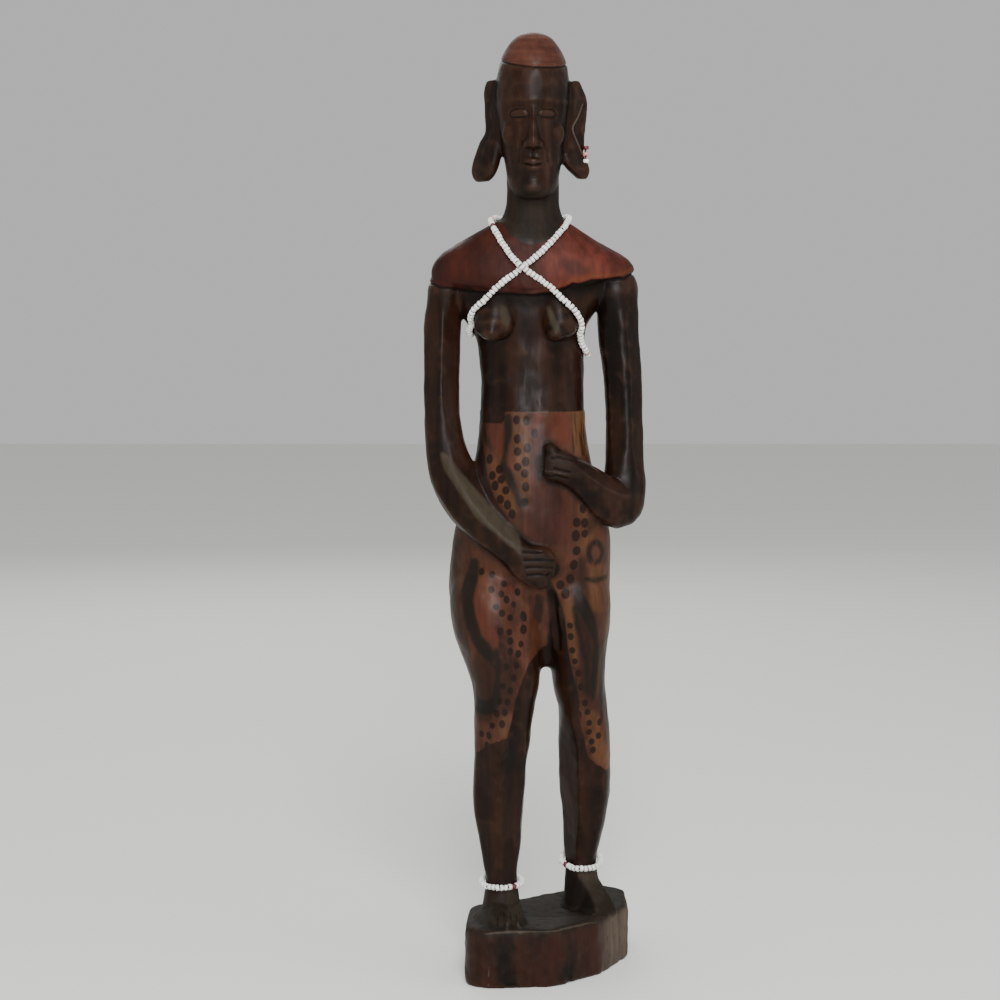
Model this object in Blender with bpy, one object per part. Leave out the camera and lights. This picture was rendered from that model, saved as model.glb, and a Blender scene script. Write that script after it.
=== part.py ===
"""A carved wooden figurine: a standing woman on a rough block, dressed with strings of seed beads.

The woman and the block are one piece of wood. A long string of beads crosses her chest, passes
under both arms and closes behind her neck, a ring of beads lies on each ankle, and three beads
hang from one ear. Lengths are metres, +Z is up and the woman faces -Y.

Her body is written as sections in thousandths of her own height, measured from the top of the
block. The block is as large as her stance with a margin of its own on each side, and the beads
and the gaps have their own real sizes.
"""
import math

import bmesh
import bpy
import numpy as np
from mathutils import Vector
from mathutils.bvhtree import BVHTree

# Driving dimensions
FIGURE_HEIGHT = 0.2875
BLOCK_HEIGHT = 0.0176
BLOCK_LEFT_MARGIN = 0.0053
BLOCK_RIGHT_MARGIN = 0.0010
BLOCK_FRONT_MARGIN = 0.0037
BLOCK_BACK_MARGIN = 0.0146
BLOCK_CORNER = 0.0080
BLOCK_RIM = 0.0012
BEAD_DIAMETER = 0.0021
BEAD_PITCH = 0.00137
BEAD_WAIST = 0.0011
BEAD_CLEARANCE = 0.0003
ANKLET_LOOSENESS = 0.0001

# How finely the carving is cut
WOOD_GRID = 0.0009
RUBBING = 0.25
RUBBING_ROUNDS = 4
WOOD_TRIANGLES = 4650
SECTION_SIDES = 40
SWELLING_LAYERS = 14
CORNER_STEPS = 5
BEAD_SIDES = 5

# How round a section is: 2 is an ellipse, more is squarer
BODY_ROUNDNESS = 2.2
FOOT_ROUNDNESS = 2.4

# Edges sharper than this stay sharp in the shading
SHARP_FROM = math.radians(40)

# Colours, as red, green, blue, with roughness
WOOD_COLOUR = (0.055, 0.024, 0.016)
WOOD_ROUGHNESS = 0.38
BEAD_COLOUR = (0.86, 0.86, 0.83)
BEAD_ROUGHNESS = 0.25

SHARE = FIGURE_HEIGHT / 1000.0

# Body sections: height, left edge, right edge, front, back
TRUNK = [
    (286, -58, 70, -6, 26),
    (308, -78, 80, -16, 48),
    (339, -90, 85, -26, 62),
    (373, -97, 87, -38, 70),
    (408, -95, 88, -50, 68),
    (442, -90, 86, -56, 58),
    (476, -79, 76, -57, 48),
    (515, -69, 66, -54, 40),
    (545, -63, 60, -50, 36),
    (590, -60, 56, -44, 35),
    (624, -61, 56, -42, 37),
    (648, -63, 56, -42, 41),
    (662, -67, 57, -42, 43),
    (675, -75, 60, -43, 45),
    (690, -84, 69, -44, 47),
    (706, -92, 80, -43, 48),
    (722, -94, 86, -41, 47),
    (736, -88, 82, -34, 40),
]
YOKE = [
    (712, -112, 107, -48, 53),
    (726, -116, 112, -50, 54),
    (743, -113, 109, -48, 51),
    (753, -105, 98, -45, 48),
    (761, -94, 83, -42, 45),
    (775, -71, 60, -37, 40),
    (787, -49, 42, -32, 35),
    (794, -37, 33, -29, 32),
    (808, -32, 28, -27, 30),
    (830, -31, 28, -27, 30),
    (862, -30, 27, -27, 30),
]
HEAD = [
    (814, -13, 10, -38, -8),
    (819, -21, 18, -42, 4),
    (827, -27, 24, -44, 20),
    (842, -31, 28, -45, 32),
    (859, -34, 31, -45, 42),
    (881, -38, 33, -45, 50),
    (903, -41, 37, -44, 55),
    (925, -44, 39, -44, 57),
    (947, -43, 39, -41, 54),
    (969, -38, 35, -33, 46),
    (986, -30, 26, -22, 36),
    (995, -21, 17, -12, 24),
    (1000, -9, 5, -1, 12),
]
YOKE_EDGE_MIDDLE = -16
YOKE_EDGE_RISE = 0.0013

# Limbs: across, forward and back, height, half width, half depth
LEFT_ARM = [
    (-96, 4, 734, 15, 18),
    (-99, 3, 716, 20, 27),
    (-101, 1, 695, 20, 25),
    (-103, -1, 669, 21, 23),
    (-104, -4, 624, 20, 21),
    (-104, -6, 590, 20, 21),
    (-102, -9, 556, 21, 22),
    (-97, -15, 526, 24, 22),
    (-87, -25, 500, 28, 22),
    (-72, -36, 475, 28, 21),
    (-54, -44, 455, 25, 19),
    (-36, -50, 437, 21, 17),
    (-20, -54, 422, 19, 15),
    (-6, -57, 410, 23, 13),
    (8, -58, 404, 25, 11),
    (16, -57, 402, 22, 9),
    (20, -55, 401, 16, 6),
]
RIGHT_ARM = [
    (90, 4, 738, 16, 18),
    (92, 3, 718, 24, 27),
    (94, 1, 695, 23, 25),
    (95, -1, 669, 23, 23),
    (99, -4, 624, 22, 21),
    (101, -6, 590, 21, 21),
    (102, -8, 552, 21, 21),
    (102, -10, 520, 22, 22),
    (101, -14, 494, 25, 22),
    (95, -22, 474, 27, 22),
    (80, -33, 482, 24, 19),
    (62, -43, 498, 20, 17),
    (44, -51, 511, 17, 15),
    (30, -55, 518, 18, 13),
    (19, -57, 521, 18, 11),
    (12, -56, 522, 14, 8),
]
THUMB = [
    (30, -56, 524, 6, 8),
    (22, -57, 534, 6, 8),
    (17, -54, 544, 5, 7),
    (14, -50, 551, 3, 5),
]
LEFT_LEG = [
    (-38, 4, 424, 20, 24),
    (-42, 2, 404, 34, 38),
    (-46, 0, 384, 43, 48),
    (-48, -2, 362, 48, 52),
    (-41, -6, 330, 49, 52),
    (-35, -10, 296, 43, 47),
    (-32, -13, 273, 39, 43),
    (-33, -15, 250, 35, 40),
    (-35, -18, 227, 33, 37),
    (-36, -20, 205, 32, 35),
    (-38, -19, 182, 30, 33),
    (-39, -15, 159, 30, 33),
    (-40, -13, 136, 29, 32),
    (-40, -14, 113, 27, 30),
    (-38, -17, 90, 24, 26),
    (-38, -20, 68, 21, 22),
    (-37, -22, 46, 18, 20),
    (-37, -22, 25, 20, 25),
    (-37, -22, 4, 23, 30),
    (-37, -22, -10, 23, 30),
]
RIGHT_LEG = [
    (36, 6, 424, 20, 24),
    (40, 6, 404, 32, 38),
    (44, 6, 384, 38, 46),
    (47, 6, 362, 41, 50),
    (50, 8, 338, 38, 48),
    (51, 11, 302, 33, 43),
    (52, 14, 267, 30, 39),
    (56, 17, 243, 28, 37),
    (58, 19, 219, 29, 35),
    (59, 21, 195, 30, 33),
    (60, 27, 159, 30, 33),
    (60, 32, 136, 29, 32),
    (60, 34, 111, 26, 29),
    (58, 36, 87, 23, 24),
    (56, 38, 66, 20, 21),
    (56, 39, 50, 18, 20),
    (57, 37, 28, 20, 24),
    (59, 35, 4, 24, 30),
    (59, 35, -10, 24, 30),
]

# Feet: across, forward and back, height of the middle, half width, half height
LEFT_FOOT = [
    (-39, 14, 2, 12, 12),
    (-38, 4, 4, 18, 18),
    (-37, -20, 8, 22, 24),
    (-36, -44, 4, 24, 19),
    (-35, -62, 0, 25, 13),
    (-34, -76, -2, 23, 9),
    (-34, -82, -3, 16, 5),
]
RIGHT_FOOT = [
    (50, 70, 2, 12, 12),
    (53, 62, 4, 18, 18),
    (60, 42, 8, 22, 24),
    (72, 20, 4, 23, 19),
    (80, 4, 1, 24, 13),
    (86, -9, -1, 22, 9),
    (89, -15, -2, 15, 5),
]
MOUND = [
    (-44, 22, -14, 14, 14),
    (-46, 0, -12, 22, 20),
    (-46, -36, -12, 24, 22),
    (-44, -66, -12, 20, 17),
    (-42, -84, -14, 10, 10),
]

# Ears: height, across, forward and back, half length of the plate, half thickness
LEFT_EAR = [
    (947, -48, 6, 5, 4),
    (940, -46, 7, 10, 7),
    (925, -44, 8, 13, 8),
    (905, -43, 8, 14, 8),
    (892, -43, 8, 13, 8),
    (878, -48, 9, 16, 8),
    (864, -52, 11, 18, 8),
    (852, -55, 12, 18, 8),
    (842, -57, 13, 15, 7),
    (835, -58, 14, 9, 4),
]
RIGHT_EAR = [
    (947, 46, 6, 5, 4),
    (940, 45, 7, 10, 7),
    (925, 46, 8, 15, 8),
    (905, 45, 8, 15, 8),
    (885, 44, 8, 15, 8),
    (873, 43, 8, 15, 8),
    (866, 42, 9, 14, 8),
    (858, 45, 10, 17, 8),
    (849, 49, 11, 15, 8),
    (842, 52, 12, 10, 6),
    (838, 54, 13, 6, 4),
]
EAR_SPLAY = math.radians(38)

# Swellings: across, forward and back, height, half width, half depth, half height
SWELLINGS = [
    (-42, -38, 679, 25, 25, 24),
    (23, -38, 677, 25, 26, 25),
    (-37, -31, 697, 20, 19, 24),
    (19, -31, 696, 20, 19, 24),
    (-2, -36, 921, 33, 11, 9),
    (-2, -36, 828, 13, 12, 10),
    (-2, -42, 855, 12, 10, 5),
    (-2, -42, 847, 11, 10, 5),
    (-18, -36, 907, 10, 9, 6),
    (14, -36, 907, 10, 9, 6),
    (-23, -24, 883, 15, 15, 17),
    (19, -24, 883, 15, 15, 17),
]
NOSE = [
    (916, -6, 2, -46, -30),
    (900, -7, 3, -51, -30),
    (884, -9, 5, -58, -30),
    (874, -12, 8, -61, -30),
    (868, -11, 7, -58, -30),
    (865, -7, 3, -50, -30),
]

# Cuts: half width and depth of a groove, then the line it follows across the surface
GROOVES = [
    (4, 3, [(-12, -80, 424), (16, -80, 422)]),
    (4, 3, [(-12, -80, 412), (18, -80, 410)]),
    (4, 3, [(-12, -80, 401), (18, -80, 399)]),
    (4, 3, [(-10, -80, 390), (16, -80, 388)]),
    (4, 3, [(13, -76, 530), (38, -76, 525)]),
    (4, 3, [(12, -76, 521), (38, -76, 516)]),
    (4, 3, [(13, -76, 512), (36, -76, 508)]),
    (4, 4, [(-41, -66, 10), (-40, -82, 4)]),
    (4, 4, [(-33, -66, 10), (-32, -82, 4)]),
    (4, 4, [(-25, -66, 10), (-24, -82, 4)]),
    (3, 3, [(-13, -54, 851), (9, -54, 851)]),
]
GROOVE_BEHIND = 30

# The line round the shaved head: height at the sides, its drop in front, half width and depth
CAP_LINE = (966, 10, 4, 1.8)
HEAD_FRONT = 45

# The block's plan: across and forward or back, as shares of its half width and half depth
BLOCK_PLAN = [
    (-1.00, -1.00),
    (0.06, -0.92),
    (0.62, -0.50),
    (1.00, 0.14),
    (1.00, 1.00),
    (0.56, 1.00),
    (-0.28, 0.46),
    (-0.96, 0.18),
]

# Where the strings lie, in the same shares as the body; an anklet also has its start radius
# and its tip towards the toes
CHEST_ROUTE = [
    (-50, -10, 793), (-46, -28, 782), (-38, -40, 768), (-28, -48, 752), (-16, -54, 738),
    (4, -56, 726), (20, -58, 714), (34, -60, 705), (45, -56, 696), (53, -47, 680),
    (58, -34, 658), (61, -14, 641), (61, 8, 641), (55, 32, 658), (32, 48, 682),
    (0, 56, 696), (-30, 52, 690), (-58, 38, 676), (-72, 10, 662), (-75, -12, 664),
    (-76, -30, 674), (-74, -42, 688), (-66, -52, 700), (-54, -58, 710), (-40, -58, 719),
    (-24, -58, 730), (-6, -58, 745), (8, -52, 757), (22, -44, 770), (34, -30, 784),
    (40, -10, 795), (38, 14, 797), (26, 34, 792), (4, 42, 788), (-22, 36, 790),
    (-42, 16, 795),
]
LEFT_ANKLE = (-37, -22, 43, 27, math.radians(4))
RIGHT_ANKLE = (56, 38, 52, 27, math.radians(13))
EAR_DROP = [(60, 13, 873), (60, 12, 866), (60, 11, 859)]

# How a string is drawn tight: points, rounds, straightening and the most it sinks in a round
CHEST_POINTS = 300
ANKLET_POINTS = 60
EAR_POINTS = 4
SETTLE_ROUNDS = 60
STRAIGHTEN = 0.35
SINK_STEP = 0.00004
CROSSING_WINDOW = 4.5 * BEAD_DIAMETER
SPLINE_STEPS = 24


def section(centre, across, deep, half_width, half_depth, roundness=2.0):
    """A closed ring, |side / half_width|**roundness + |front / half_depth|**roundness = 1."""
    ring = []
    for step in range(SECTION_SIDES):
        turn = 2.0 * math.pi * step / SECTION_SIDES
        side = math.copysign(abs(math.cos(turn)) ** (2.0 / roundness), math.cos(turn))
        front = math.copysign(abs(math.sin(turn)) ** (2.0 / roundness), math.sin(turn))
        ring.append(centre + across * (half_width * side) + deep * (half_depth * front))
    return ring


def loft(bm, rings):
    """Joins rings of equal count into one closed body with a flat face at both ends."""
    loops = [[bm.verts.new(point) for point in ring] for ring in rings]
    for lower, upper in zip(loops, loops[1:]):
        for first in range(len(lower)):
            after = (first + 1) % len(lower)
            bm.faces.new((lower[first], lower[after], upper[after], upper[first]))
    bm.faces.new(list(reversed(loops[0])))
    bm.faces.new(loops[-1])


def upright(bm, rows, roundness=BODY_ROUNDNESS, edge=None):
    """A body of level sections; edge lifts the first two of them by a rule across the figure."""
    rings = []
    for number, (height, left, right, front, back) in enumerate(rows):
        centre = Vector(((left + right) / 2, (front + back) / 2, height))
        across = Vector((1, 0, 0))
        deep = Vector((0, 1, 0))
        ring = section(centre, across, deep, (right - left) / 2, (back - front) / 2, roundness)
        if edge and number < 2:
            for point in ring:
                point.z += edge(point.x) / (number + 1)
        rings.append(ring)
    loft(bm, rings)


def directions(rows):
    """The centre of each row and the direction of the line of centres there."""
    centres = [Vector(row[:3]) for row in rows]
    last = len(rows) - 1
    return [(centre, (centres[min(number + 1, last)] - centres[max(number - 1, 0)]).normalized())
            for number, centre in enumerate(centres)]


def limb(bm, rows):
    """A body carried along a line of centres, each section square to the line."""
    rings = []
    for row, (centre, along) in zip(rows, directions(rows)):
        across = along.cross(Vector((0, 1, 0))).normalized()
        deep = across.cross(along).normalized()
        rings.append(section(centre, across, deep, row[3], row[4], BODY_ROUNDNESS))
    loft(bm, rings)


def foot(bm, rows):
    """A body carried from heel to toes, each section standing upright across the foot."""
    up = Vector((0, 0, 1))
    rings = []
    for row, (centre, along) in zip(rows, directions(rows)):
        across = along.cross(up).normalized()
        rings.append(section(centre, across, up, row[3], row[4], FOOT_ROUNDNESS))
    loft(bm, rings)


def ear(bm, rows, side):
    """A thick plate hung on the side of the head, turned back by the ear's splay."""
    along = Vector((side * math.cos(EAR_SPLAY), math.sin(EAR_SPLAY), 0))
    through = Vector((-along.y, along.x, 0))
    rings = []
    for height, across, deep, length, thickness in rows:
        centre = Vector((across, deep, height))
        rings.append(section(centre, along, through, length, thickness, FOOT_ROUNDNESS))
    loft(bm, rings)


def swelling(bm, across, deep, height, half_width, half_depth, half_height):
    """An egg-shaped body, as level sections of a sphere stretched three ways."""
    rings = []
    for layer in range(1, SWELLING_LAYERS):
        slope = math.pi * layer / SWELLING_LAYERS
        wide = math.sin(slope)
        centre = Vector((across, deep, height - half_height * math.cos(slope)))
        rings.append(section(centre, Vector((1, 0, 0)), Vector((0, 1, 0)),
                             half_width * wide, half_depth * wide))
    loft(bm, rings)


def yoke_edge(across):
    """The yoke's lower edge rises to both shoulders from its lowest point at the chest."""
    return YOKE_EDGE_RISE * (across - YOKE_EDGE_MIDDLE) ** 2


def rough_body():
    """Every form of the woman as a closed body, overlapping, ready to be made one."""
    bm = bmesh.new()
    upright(bm, TRUNK)
    upright(bm, YOKE, edge=yoke_edge)
    upright(bm, HEAD)
    upright(bm, NOSE, roundness=2.0)
    for rows in (LEFT_ARM, RIGHT_ARM, THUMB, LEFT_LEG, RIGHT_LEG):
        limb(bm, rows)
    for rows in (LEFT_FOOT, RIGHT_FOOT, MOUND):
        foot(bm, rows)
    ear(bm, LEFT_EAR, -1)
    ear(bm, RIGHT_EAR, 1)
    for row in SWELLINGS:
        swelling(bm, *row)
    bmesh.ops.recalc_face_normals(bm, faces=bm.faces)
    bmesh.ops.scale(bm, vec=Vector((SHARE, SHARE, SHARE)), verts=bm.verts)
    bmesh.ops.translate(bm, vec=Vector((0, 0, BLOCK_HEIGHT)), verts=bm.verts)
    mesh = bpy.data.meshes.new("rough_body")
    bm.to_mesh(mesh)
    bm.free()
    return mesh


def evaluated(thing):
    """The object's mesh with its modifiers applied."""
    graph = bpy.context.evaluated_depsgraph_get()
    graph.update()
    return bpy.data.meshes.new_from_object(thing.evaluated_get(graph))


def new_object(name, mesh):
    """An object in the scene."""
    thing = bpy.data.objects.new(name, mesh)
    bpy.context.scene.collection.objects.link(thing)
    return thing


def place(across, deep, height):
    """A point of the body's shares as a place in metres."""
    return Vector((across * SHARE, deep * SHARE, height * SHARE + BLOCK_HEIGHT))


def engrave(bm, half_width, depth, line):
    """Sinks the surface along a line: by depth * (1 - (distance / half_width)**2)**2."""
    points = [place(*point) for point in line]
    reach = half_width * SHARE
    for start, end in zip(points, points[1:]):
        along = end - start
        for vert in bm.verts:
            if vert.co.y > max(start.y, end.y) + GROOVE_BEHIND * SHARE:
                continue
            flat = vert.co - start
            share = max(0.0, min(1.0, (flat.x * along.x + flat.z * along.z)
                                 / (along.x ** 2 + along.z ** 2)))
            gap = math.hypot(flat.x - along.x * share, flat.z - along.z * share)
            if gap < reach:
                vert.co += -vert.normal * depth * SHARE * (1 - (gap / reach) ** 2) ** 2


def ring_groove(bm, height, drop, half_width, depth):
    """Sinks a line round the head, lower in front by drop."""
    reach = half_width * SHARE
    for vert in bm.verts:
        front = -vert.co.y / (HEAD_FRONT * SHARE)
        level = place(0, 0, height - drop * front).z
        gap = abs(vert.co.z - level)
        if gap < reach:
            vert.co += -vert.normal * depth * SHARE * (1 - (gap / reach) ** 2) ** 2


def rounded(corners, radius):
    """The closed outline through the corners, each one turned into an arc of the radius."""
    outline = []
    for number, corner in enumerate(corners):
        back = (corners[number - 1] - corner).normalized()
        ahead = (corners[(number + 1) % len(corners)] - corner).normalized()
        half = math.acos(back.dot(ahead)) / 2
        middle = corner + (back + ahead).normalized() * radius / math.sin(half)
        start = corner + back * radius / math.tan(half) - middle
        end = corner + ahead * radius / math.tan(half) - middle
        for step in range(CORNER_STEPS + 1):
            spoke = start.lerp(end, step / CORNER_STEPS)
            outline.append(middle + spoke.normalized() * radius)
    return outline


def stance():
    """The box round both feet in plan: left, right, front and back."""
    rows = LEFT_FOOT + RIGHT_FOOT
    left = min(row[0] - row[3] for row in rows) * SHARE
    right = max(row[0] + row[3] for row in rows) * SHARE
    front = min(row[1] for row in rows) * SHARE
    back = max(row[1] for row in rows) * SHARE
    return left, right, front, back


def block_mesh():
    """The block: an irregular plan with round corners, level below, its top rim taken off."""
    left, right, front, back = stance()
    left -= BLOCK_LEFT_MARGIN
    right += BLOCK_RIGHT_MARGIN
    front -= BLOCK_FRONT_MARGIN
    back += BLOCK_BACK_MARGIN
    middle = Vector(((left + right) / 2, (front + back) / 2, 0))
    corners = [middle + Vector((across * (right - left) / 2, deep * (back - front) / 2, 0))
               for across, deep in BLOCK_PLAN]
    bm = bmesh.new()
    plan = bm.faces.new([bm.verts.new(point) for point in rounded(corners, BLOCK_CORNER)])
    lifted = bmesh.ops.extrude_face_region(bm, geom=[plan])
    tops = [item for item in lifted["geom"] if isinstance(item, bmesh.types.BMVert)]
    bmesh.ops.translate(bm, vec=Vector((0, 0, BLOCK_HEIGHT)), verts=tops)
    bmesh.ops.recalc_face_normals(bm, faces=bm.faces)
    rim = [edge for edge in bm.edges
           if all(abs(vert.co.z - BLOCK_HEIGHT) < BLOCK_RIM / 10 for vert in edge.verts)]
    bmesh.ops.bevel(bm, geom=rim, offset=BLOCK_RIM, segments=2, profile=0.5, affect="EDGES")
    mesh = bpy.data.meshes.new("block")
    bm.to_mesh(mesh)
    bm.free()
    return mesh


def joined_body():
    """The woman's forms made one closed skin of even cells, as a bmesh in a fixed order."""
    rough = new_object("rough_body", rough_body())
    joined = rough.modifiers.new("one_piece", "REMESH")
    joined.mode = "VOXEL"
    joined.voxel_size = WOOD_GRID
    skin = evaluated(rough)
    bpy.data.objects.remove(rough)
    bm = bmesh.new()
    verts = [bm.verts.new(vert.co) for vert in skin.vertices]
    for corners in sorted(tuple(face.vertices) for face in skin.polygons):
        bm.faces.new([verts[corner] for corner in corners])
    return bm


def carve_figure():
    """The woman as one closed body, rubbed smooth, grooved and cut to her facets."""
    bm = joined_body()
    for _ in range(RUBBING_ROUNDS):
        bmesh.ops.smooth_vert(bm, verts=bm.verts, factor=RUBBING, use_axis_x=True,
                              use_axis_y=True, use_axis_z=True)
    bm.normal_update()
    for half_width, depth, line in GROOVES:
        engrave(bm, half_width, depth, line)
    ring_groove(bm, *CAP_LINE)
    triangles = sum(len(face.verts) - 2 for face in bm.faces)
    mesh = bpy.data.meshes.new("carved_figure")
    bm.to_mesh(mesh)
    bm.free()
    figure = new_object("carved_figure", mesh)
    thinned = figure.modifiers.new("fewer_facets", "DECIMATE")
    thinned.ratio = WOOD_TRIANGLES / triangles
    return figure


def stand_on_block(figure):
    """Grows the woman and her block into one piece of wood."""
    block = new_object("block_shape", block_mesh())
    block.hide_render = True
    block.display_type = "WIRE"
    grown = figure.modifiers.new("on_its_block", "BOOLEAN")
    grown.operation = "UNION"
    grown.solver = "EXACT"
    grown.object = block
    return block


def spline(points, closed):
    """The smooth curve through the given points (Catmull-Rom), and the length run at each."""
    data = np.array([tuple(point) for point in points])
    total = len(data)
    dense = []
    spans = total if closed else total - 1
    for span in range(spans):
        if closed:
            a, b, c, d = (data[(span + shift) % total] for shift in (-1, 0, 1, 2))
        else:
            a = data[max(span - 1, 0)]
            b = data[span]
            c = data[span + 1]
            d = data[min(span + 2, total - 1)]
        for step in range(SPLINE_STEPS):
            t = step / SPLINE_STEPS
            dense.append(0.5 * (2 * b + (c - a) * t + (2 * a - 5 * b + 4 * c - d) * t ** 2
                                + (3 * b - a - 3 * c + d) * t ** 3))
    dense.append(data[0] if closed else data[-1])
    dense = np.array(dense)
    return dense, np.concatenate([[0], np.cumsum(np.linalg.norm(np.diff(dense, axis=0), axis=1))])


def spaced(points, count, closed):
    """Evenly spaced points on the smooth curve through the given ones."""
    dense, length = spline(points, closed)
    ends = np.linspace(0, length[-1], count, endpoint=not closed)
    return np.stack([np.interp(ends, length, dense[:, axis]) for axis in range(3)], axis=1)


def settle(points, tree, distance, closed=True):
    """Draws a string tight over the wood while it keeps its distance from the surface."""
    spots = points.copy()
    for _ in range(SETTLE_ROUNDS):
        before = np.roll(spots, 1, axis=0)
        after = np.roll(spots, -1, axis=0)
        if not closed:
            before[0] = after[0] = spots[0]
            before[-1] = after[-1] = spots[-1]
        spots = spots + STRAIGHTEN * ((before + after) / 2 - spots)
        for number, spot in enumerate(spots):
            here = Vector(spot)
            found, normal, _, _ = tree.find_nearest(here)
            away = here - found
            gap = away.length
            inside = away.dot(normal) < 0
            if inside or gap < distance:
                spots[number] = found + normal * distance
            else:
                spots[number] = here - away.normalized() * min(gap - distance, SINK_STEP)
    return spots


def outward(spots, tree):
    """The direction away from the wood at each point of a string."""
    normals = []
    for spot in spots:
        found = tree.find_nearest(Vector(spot))[0]
        away = Vector(spot) - found
        normals.append(away.normalized())
    return normals


def bead_string(name, points, tree, closed=True):
    """Beads fused on their thread: a wide ring at each bead's middle, a narrow one between."""
    beads = round(spline(points, closed)[1][-1] / BEAD_PITCH)
    spots = spaced(points, beads * 2 if closed else beads * 2 + 1, closed)
    away = outward(spots, tree)
    bm = bmesh.new()
    loops = []
    for number, spot in enumerate(spots):
        before = spots[number - 1] if closed or number else spots[0]
        after = spots[(number + 1) % len(spots)] if closed or number + 1 < len(spots) else spot
        along = Vector(after - before).normalized()
        side = away[number] - along * away[number].dot(along)
        side.normalize()
        other = along.cross(side)
        middle = number % 2 == 1
        radius = (BEAD_DIAMETER if middle else BEAD_WAIST) / 2
        loop = []
        for step in range(BEAD_SIDES):
            turn = 2 * math.pi * (step + 0.5) / BEAD_SIDES
            point = Vector(spot) + (side * math.cos(turn) + other * math.sin(turn)) * radius
            loop.append(bm.verts.new(point))
        loops.append(loop)
    pairs = list(zip(loops, loops[1:]))
    if closed:
        pairs.append((loops[-1], loops[0]))
    for lower, upper in pairs:
        for first in range(BEAD_SIDES):
            follow = (first + 1) % BEAD_SIDES
            bm.faces.new((lower[first], lower[follow], upper[follow], upper[first]))
    if not closed:
        bm.faces.new(list(reversed(loops[0])))
        bm.faces.new(loops[-1])
    bmesh.ops.recalc_face_normals(bm, faces=bm.faces)
    mesh = bpy.data.meshes.new(name)
    bm.to_mesh(mesh)
    bm.free()
    return new_object(name, mesh)


def crossing(spots):
    """The number of the first of the two points where the string crosses itself in front."""
    total = len(spots)
    apart = total // 8
    nearest = None
    found = None
    for first in range(total):
        for second in range(first + apart, min(total, first + total - apart)):
            if spots[first][1] > 0 or spots[second][1] > 0:
                continue
            gap = math.hypot(spots[first][0] - spots[second][0],
                             spots[first][2] - spots[second][2])
            if nearest is None or gap < nearest:
                nearest = gap
                found = first
    return found


def cross_over(spots):
    """Lifts one strand clear of the other by rise * cos(distance)**2 round the crossing."""
    lifted = spots.copy()
    total = len(spots)
    middle = crossing(spots)
    step = np.linalg.norm(spots[1] - spots[0])
    rise = BEAD_DIAMETER + BEAD_CLEARANCE * 2
    for number in range(total):
        apart = abs(number - middle)
        along = min(apart, total - apart) * step
        if along < CROSSING_WINDOW:
            lifted[number][1] -= rise * math.cos(math.pi / 2 * along / CROSSING_WINDOW) ** 2
    return lifted


def chest_beads(tree):
    """The long string: down the chest, under one arm, round the back and up to the neck."""
    spots = spaced([place(*point) for point in CHEST_ROUTE], CHEST_POINTS, True)
    spots = settle(spots, tree, BEAD_DIAMETER / 2 + BEAD_CLEARANCE)
    return bead_string("chest_beads", cross_over(spots), tree)


def ear_beads(tree):
    """The short string that hangs down the outer rim of one ear."""
    spots = spaced([place(*point) for point in EAR_DROP], EAR_POINTS, False)
    spots = settle(spots, tree, BEAD_DIAMETER / 2 + BEAD_CLEARANCE, closed=False)
    return bead_string("ear_beads", spots, tree, closed=False)


def anklet(name, ankle, tree):
    """A ring of beads round one ankle, tipped down to the toes by its own angle."""
    across, deep, height, radius, tip = ankle
    centre = place(across, deep, height)
    reach = radius * SHARE
    spots = []
    for step in range(ANKLET_POINTS):
        turn = 2 * math.pi * step / ANKLET_POINTS
        forward = reach * math.sin(turn)
        spots.append((centre.x + reach * math.cos(turn), centre.y + forward * math.cos(tip),
                      centre.z + forward * math.sin(tip)))
    distance = BEAD_DIAMETER / 2 + BEAD_CLEARANCE + ANKLET_LOOSENESS
    return bead_string(name, settle(np.array(spots), tree, distance), tree)


def finish(thing, colour, roughness):
    """Gives the object its own material and smooth shading over its gentle angles."""
    material = bpy.data.materials.new(thing.name)
    material.use_nodes = True
    shader = material.node_tree.nodes["Principled BSDF"]
    shader.inputs["Base Color"].default_value = (*colour, 1.0)
    shader.inputs["Roughness"].default_value = roughness
    shader.inputs["Metallic"].default_value = 0.0
    thing.data.materials.clear()
    thing.data.materials.append(material)
    thing.data.shade_smooth()
    thing.data.set_sharp_from_angle(angle=SHARP_FROM)


def centre_on_origin(things):
    """Moves every piece so that the middle of their common box stands over the origin."""
    corners = [vert.co for thing in things for vert in evaluated(thing).vertices]
    across = [corner.x for corner in corners]
    deep = [corner.y for corner in corners]
    shift = Vector((-(min(across) + max(across)) / 2, -(min(deep) + max(deep)) / 2, 0))
    for thing in things:
        thing.location = shift
    return shift


def build():
    """Makes every piece and returns how far they were moved to centre them."""
    for thing in list(bpy.data.objects):
        bpy.data.objects.remove(thing)
    figure = carve_figure()
    finish(figure, WOOD_COLOUR, WOOD_ROUGHNESS)
    wood = evaluated(figure)
    tree = BVHTree.FromPolygons([vert.co for vert in wood.vertices],
                                [tuple(face.vertices) for face in wood.polygons])
    strings = [
        chest_beads(tree),
        ear_beads(tree),
        anklet("left_ankle_beads", LEFT_ANKLE, tree),
        anklet("right_ankle_beads", RIGHT_ANKLE, tree),
    ]
    for string in strings:
        finish(string, BEAD_COLOUR, BEAD_ROUGHNESS)
    block = stand_on_block(figure)
    return centre_on_origin([figure, *strings, block])


SHIFT = build()
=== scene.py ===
# %% [markdown]
# # A carved and painted wooden woman, dressed with seed beads
#
# The real figure is a souvenir carving: one piece of wood, shaped with a knife, rubbed with dark
# stain and polish, and dressed with strings of white glass beads. The exact frame already holds its
# plain solids. This lesson carves the same forms again much finer, paints them and threads the
# beads.

import math

import bpy
import numpy as np
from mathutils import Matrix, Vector
from mathutils.bvhtree import BVHTree


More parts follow.
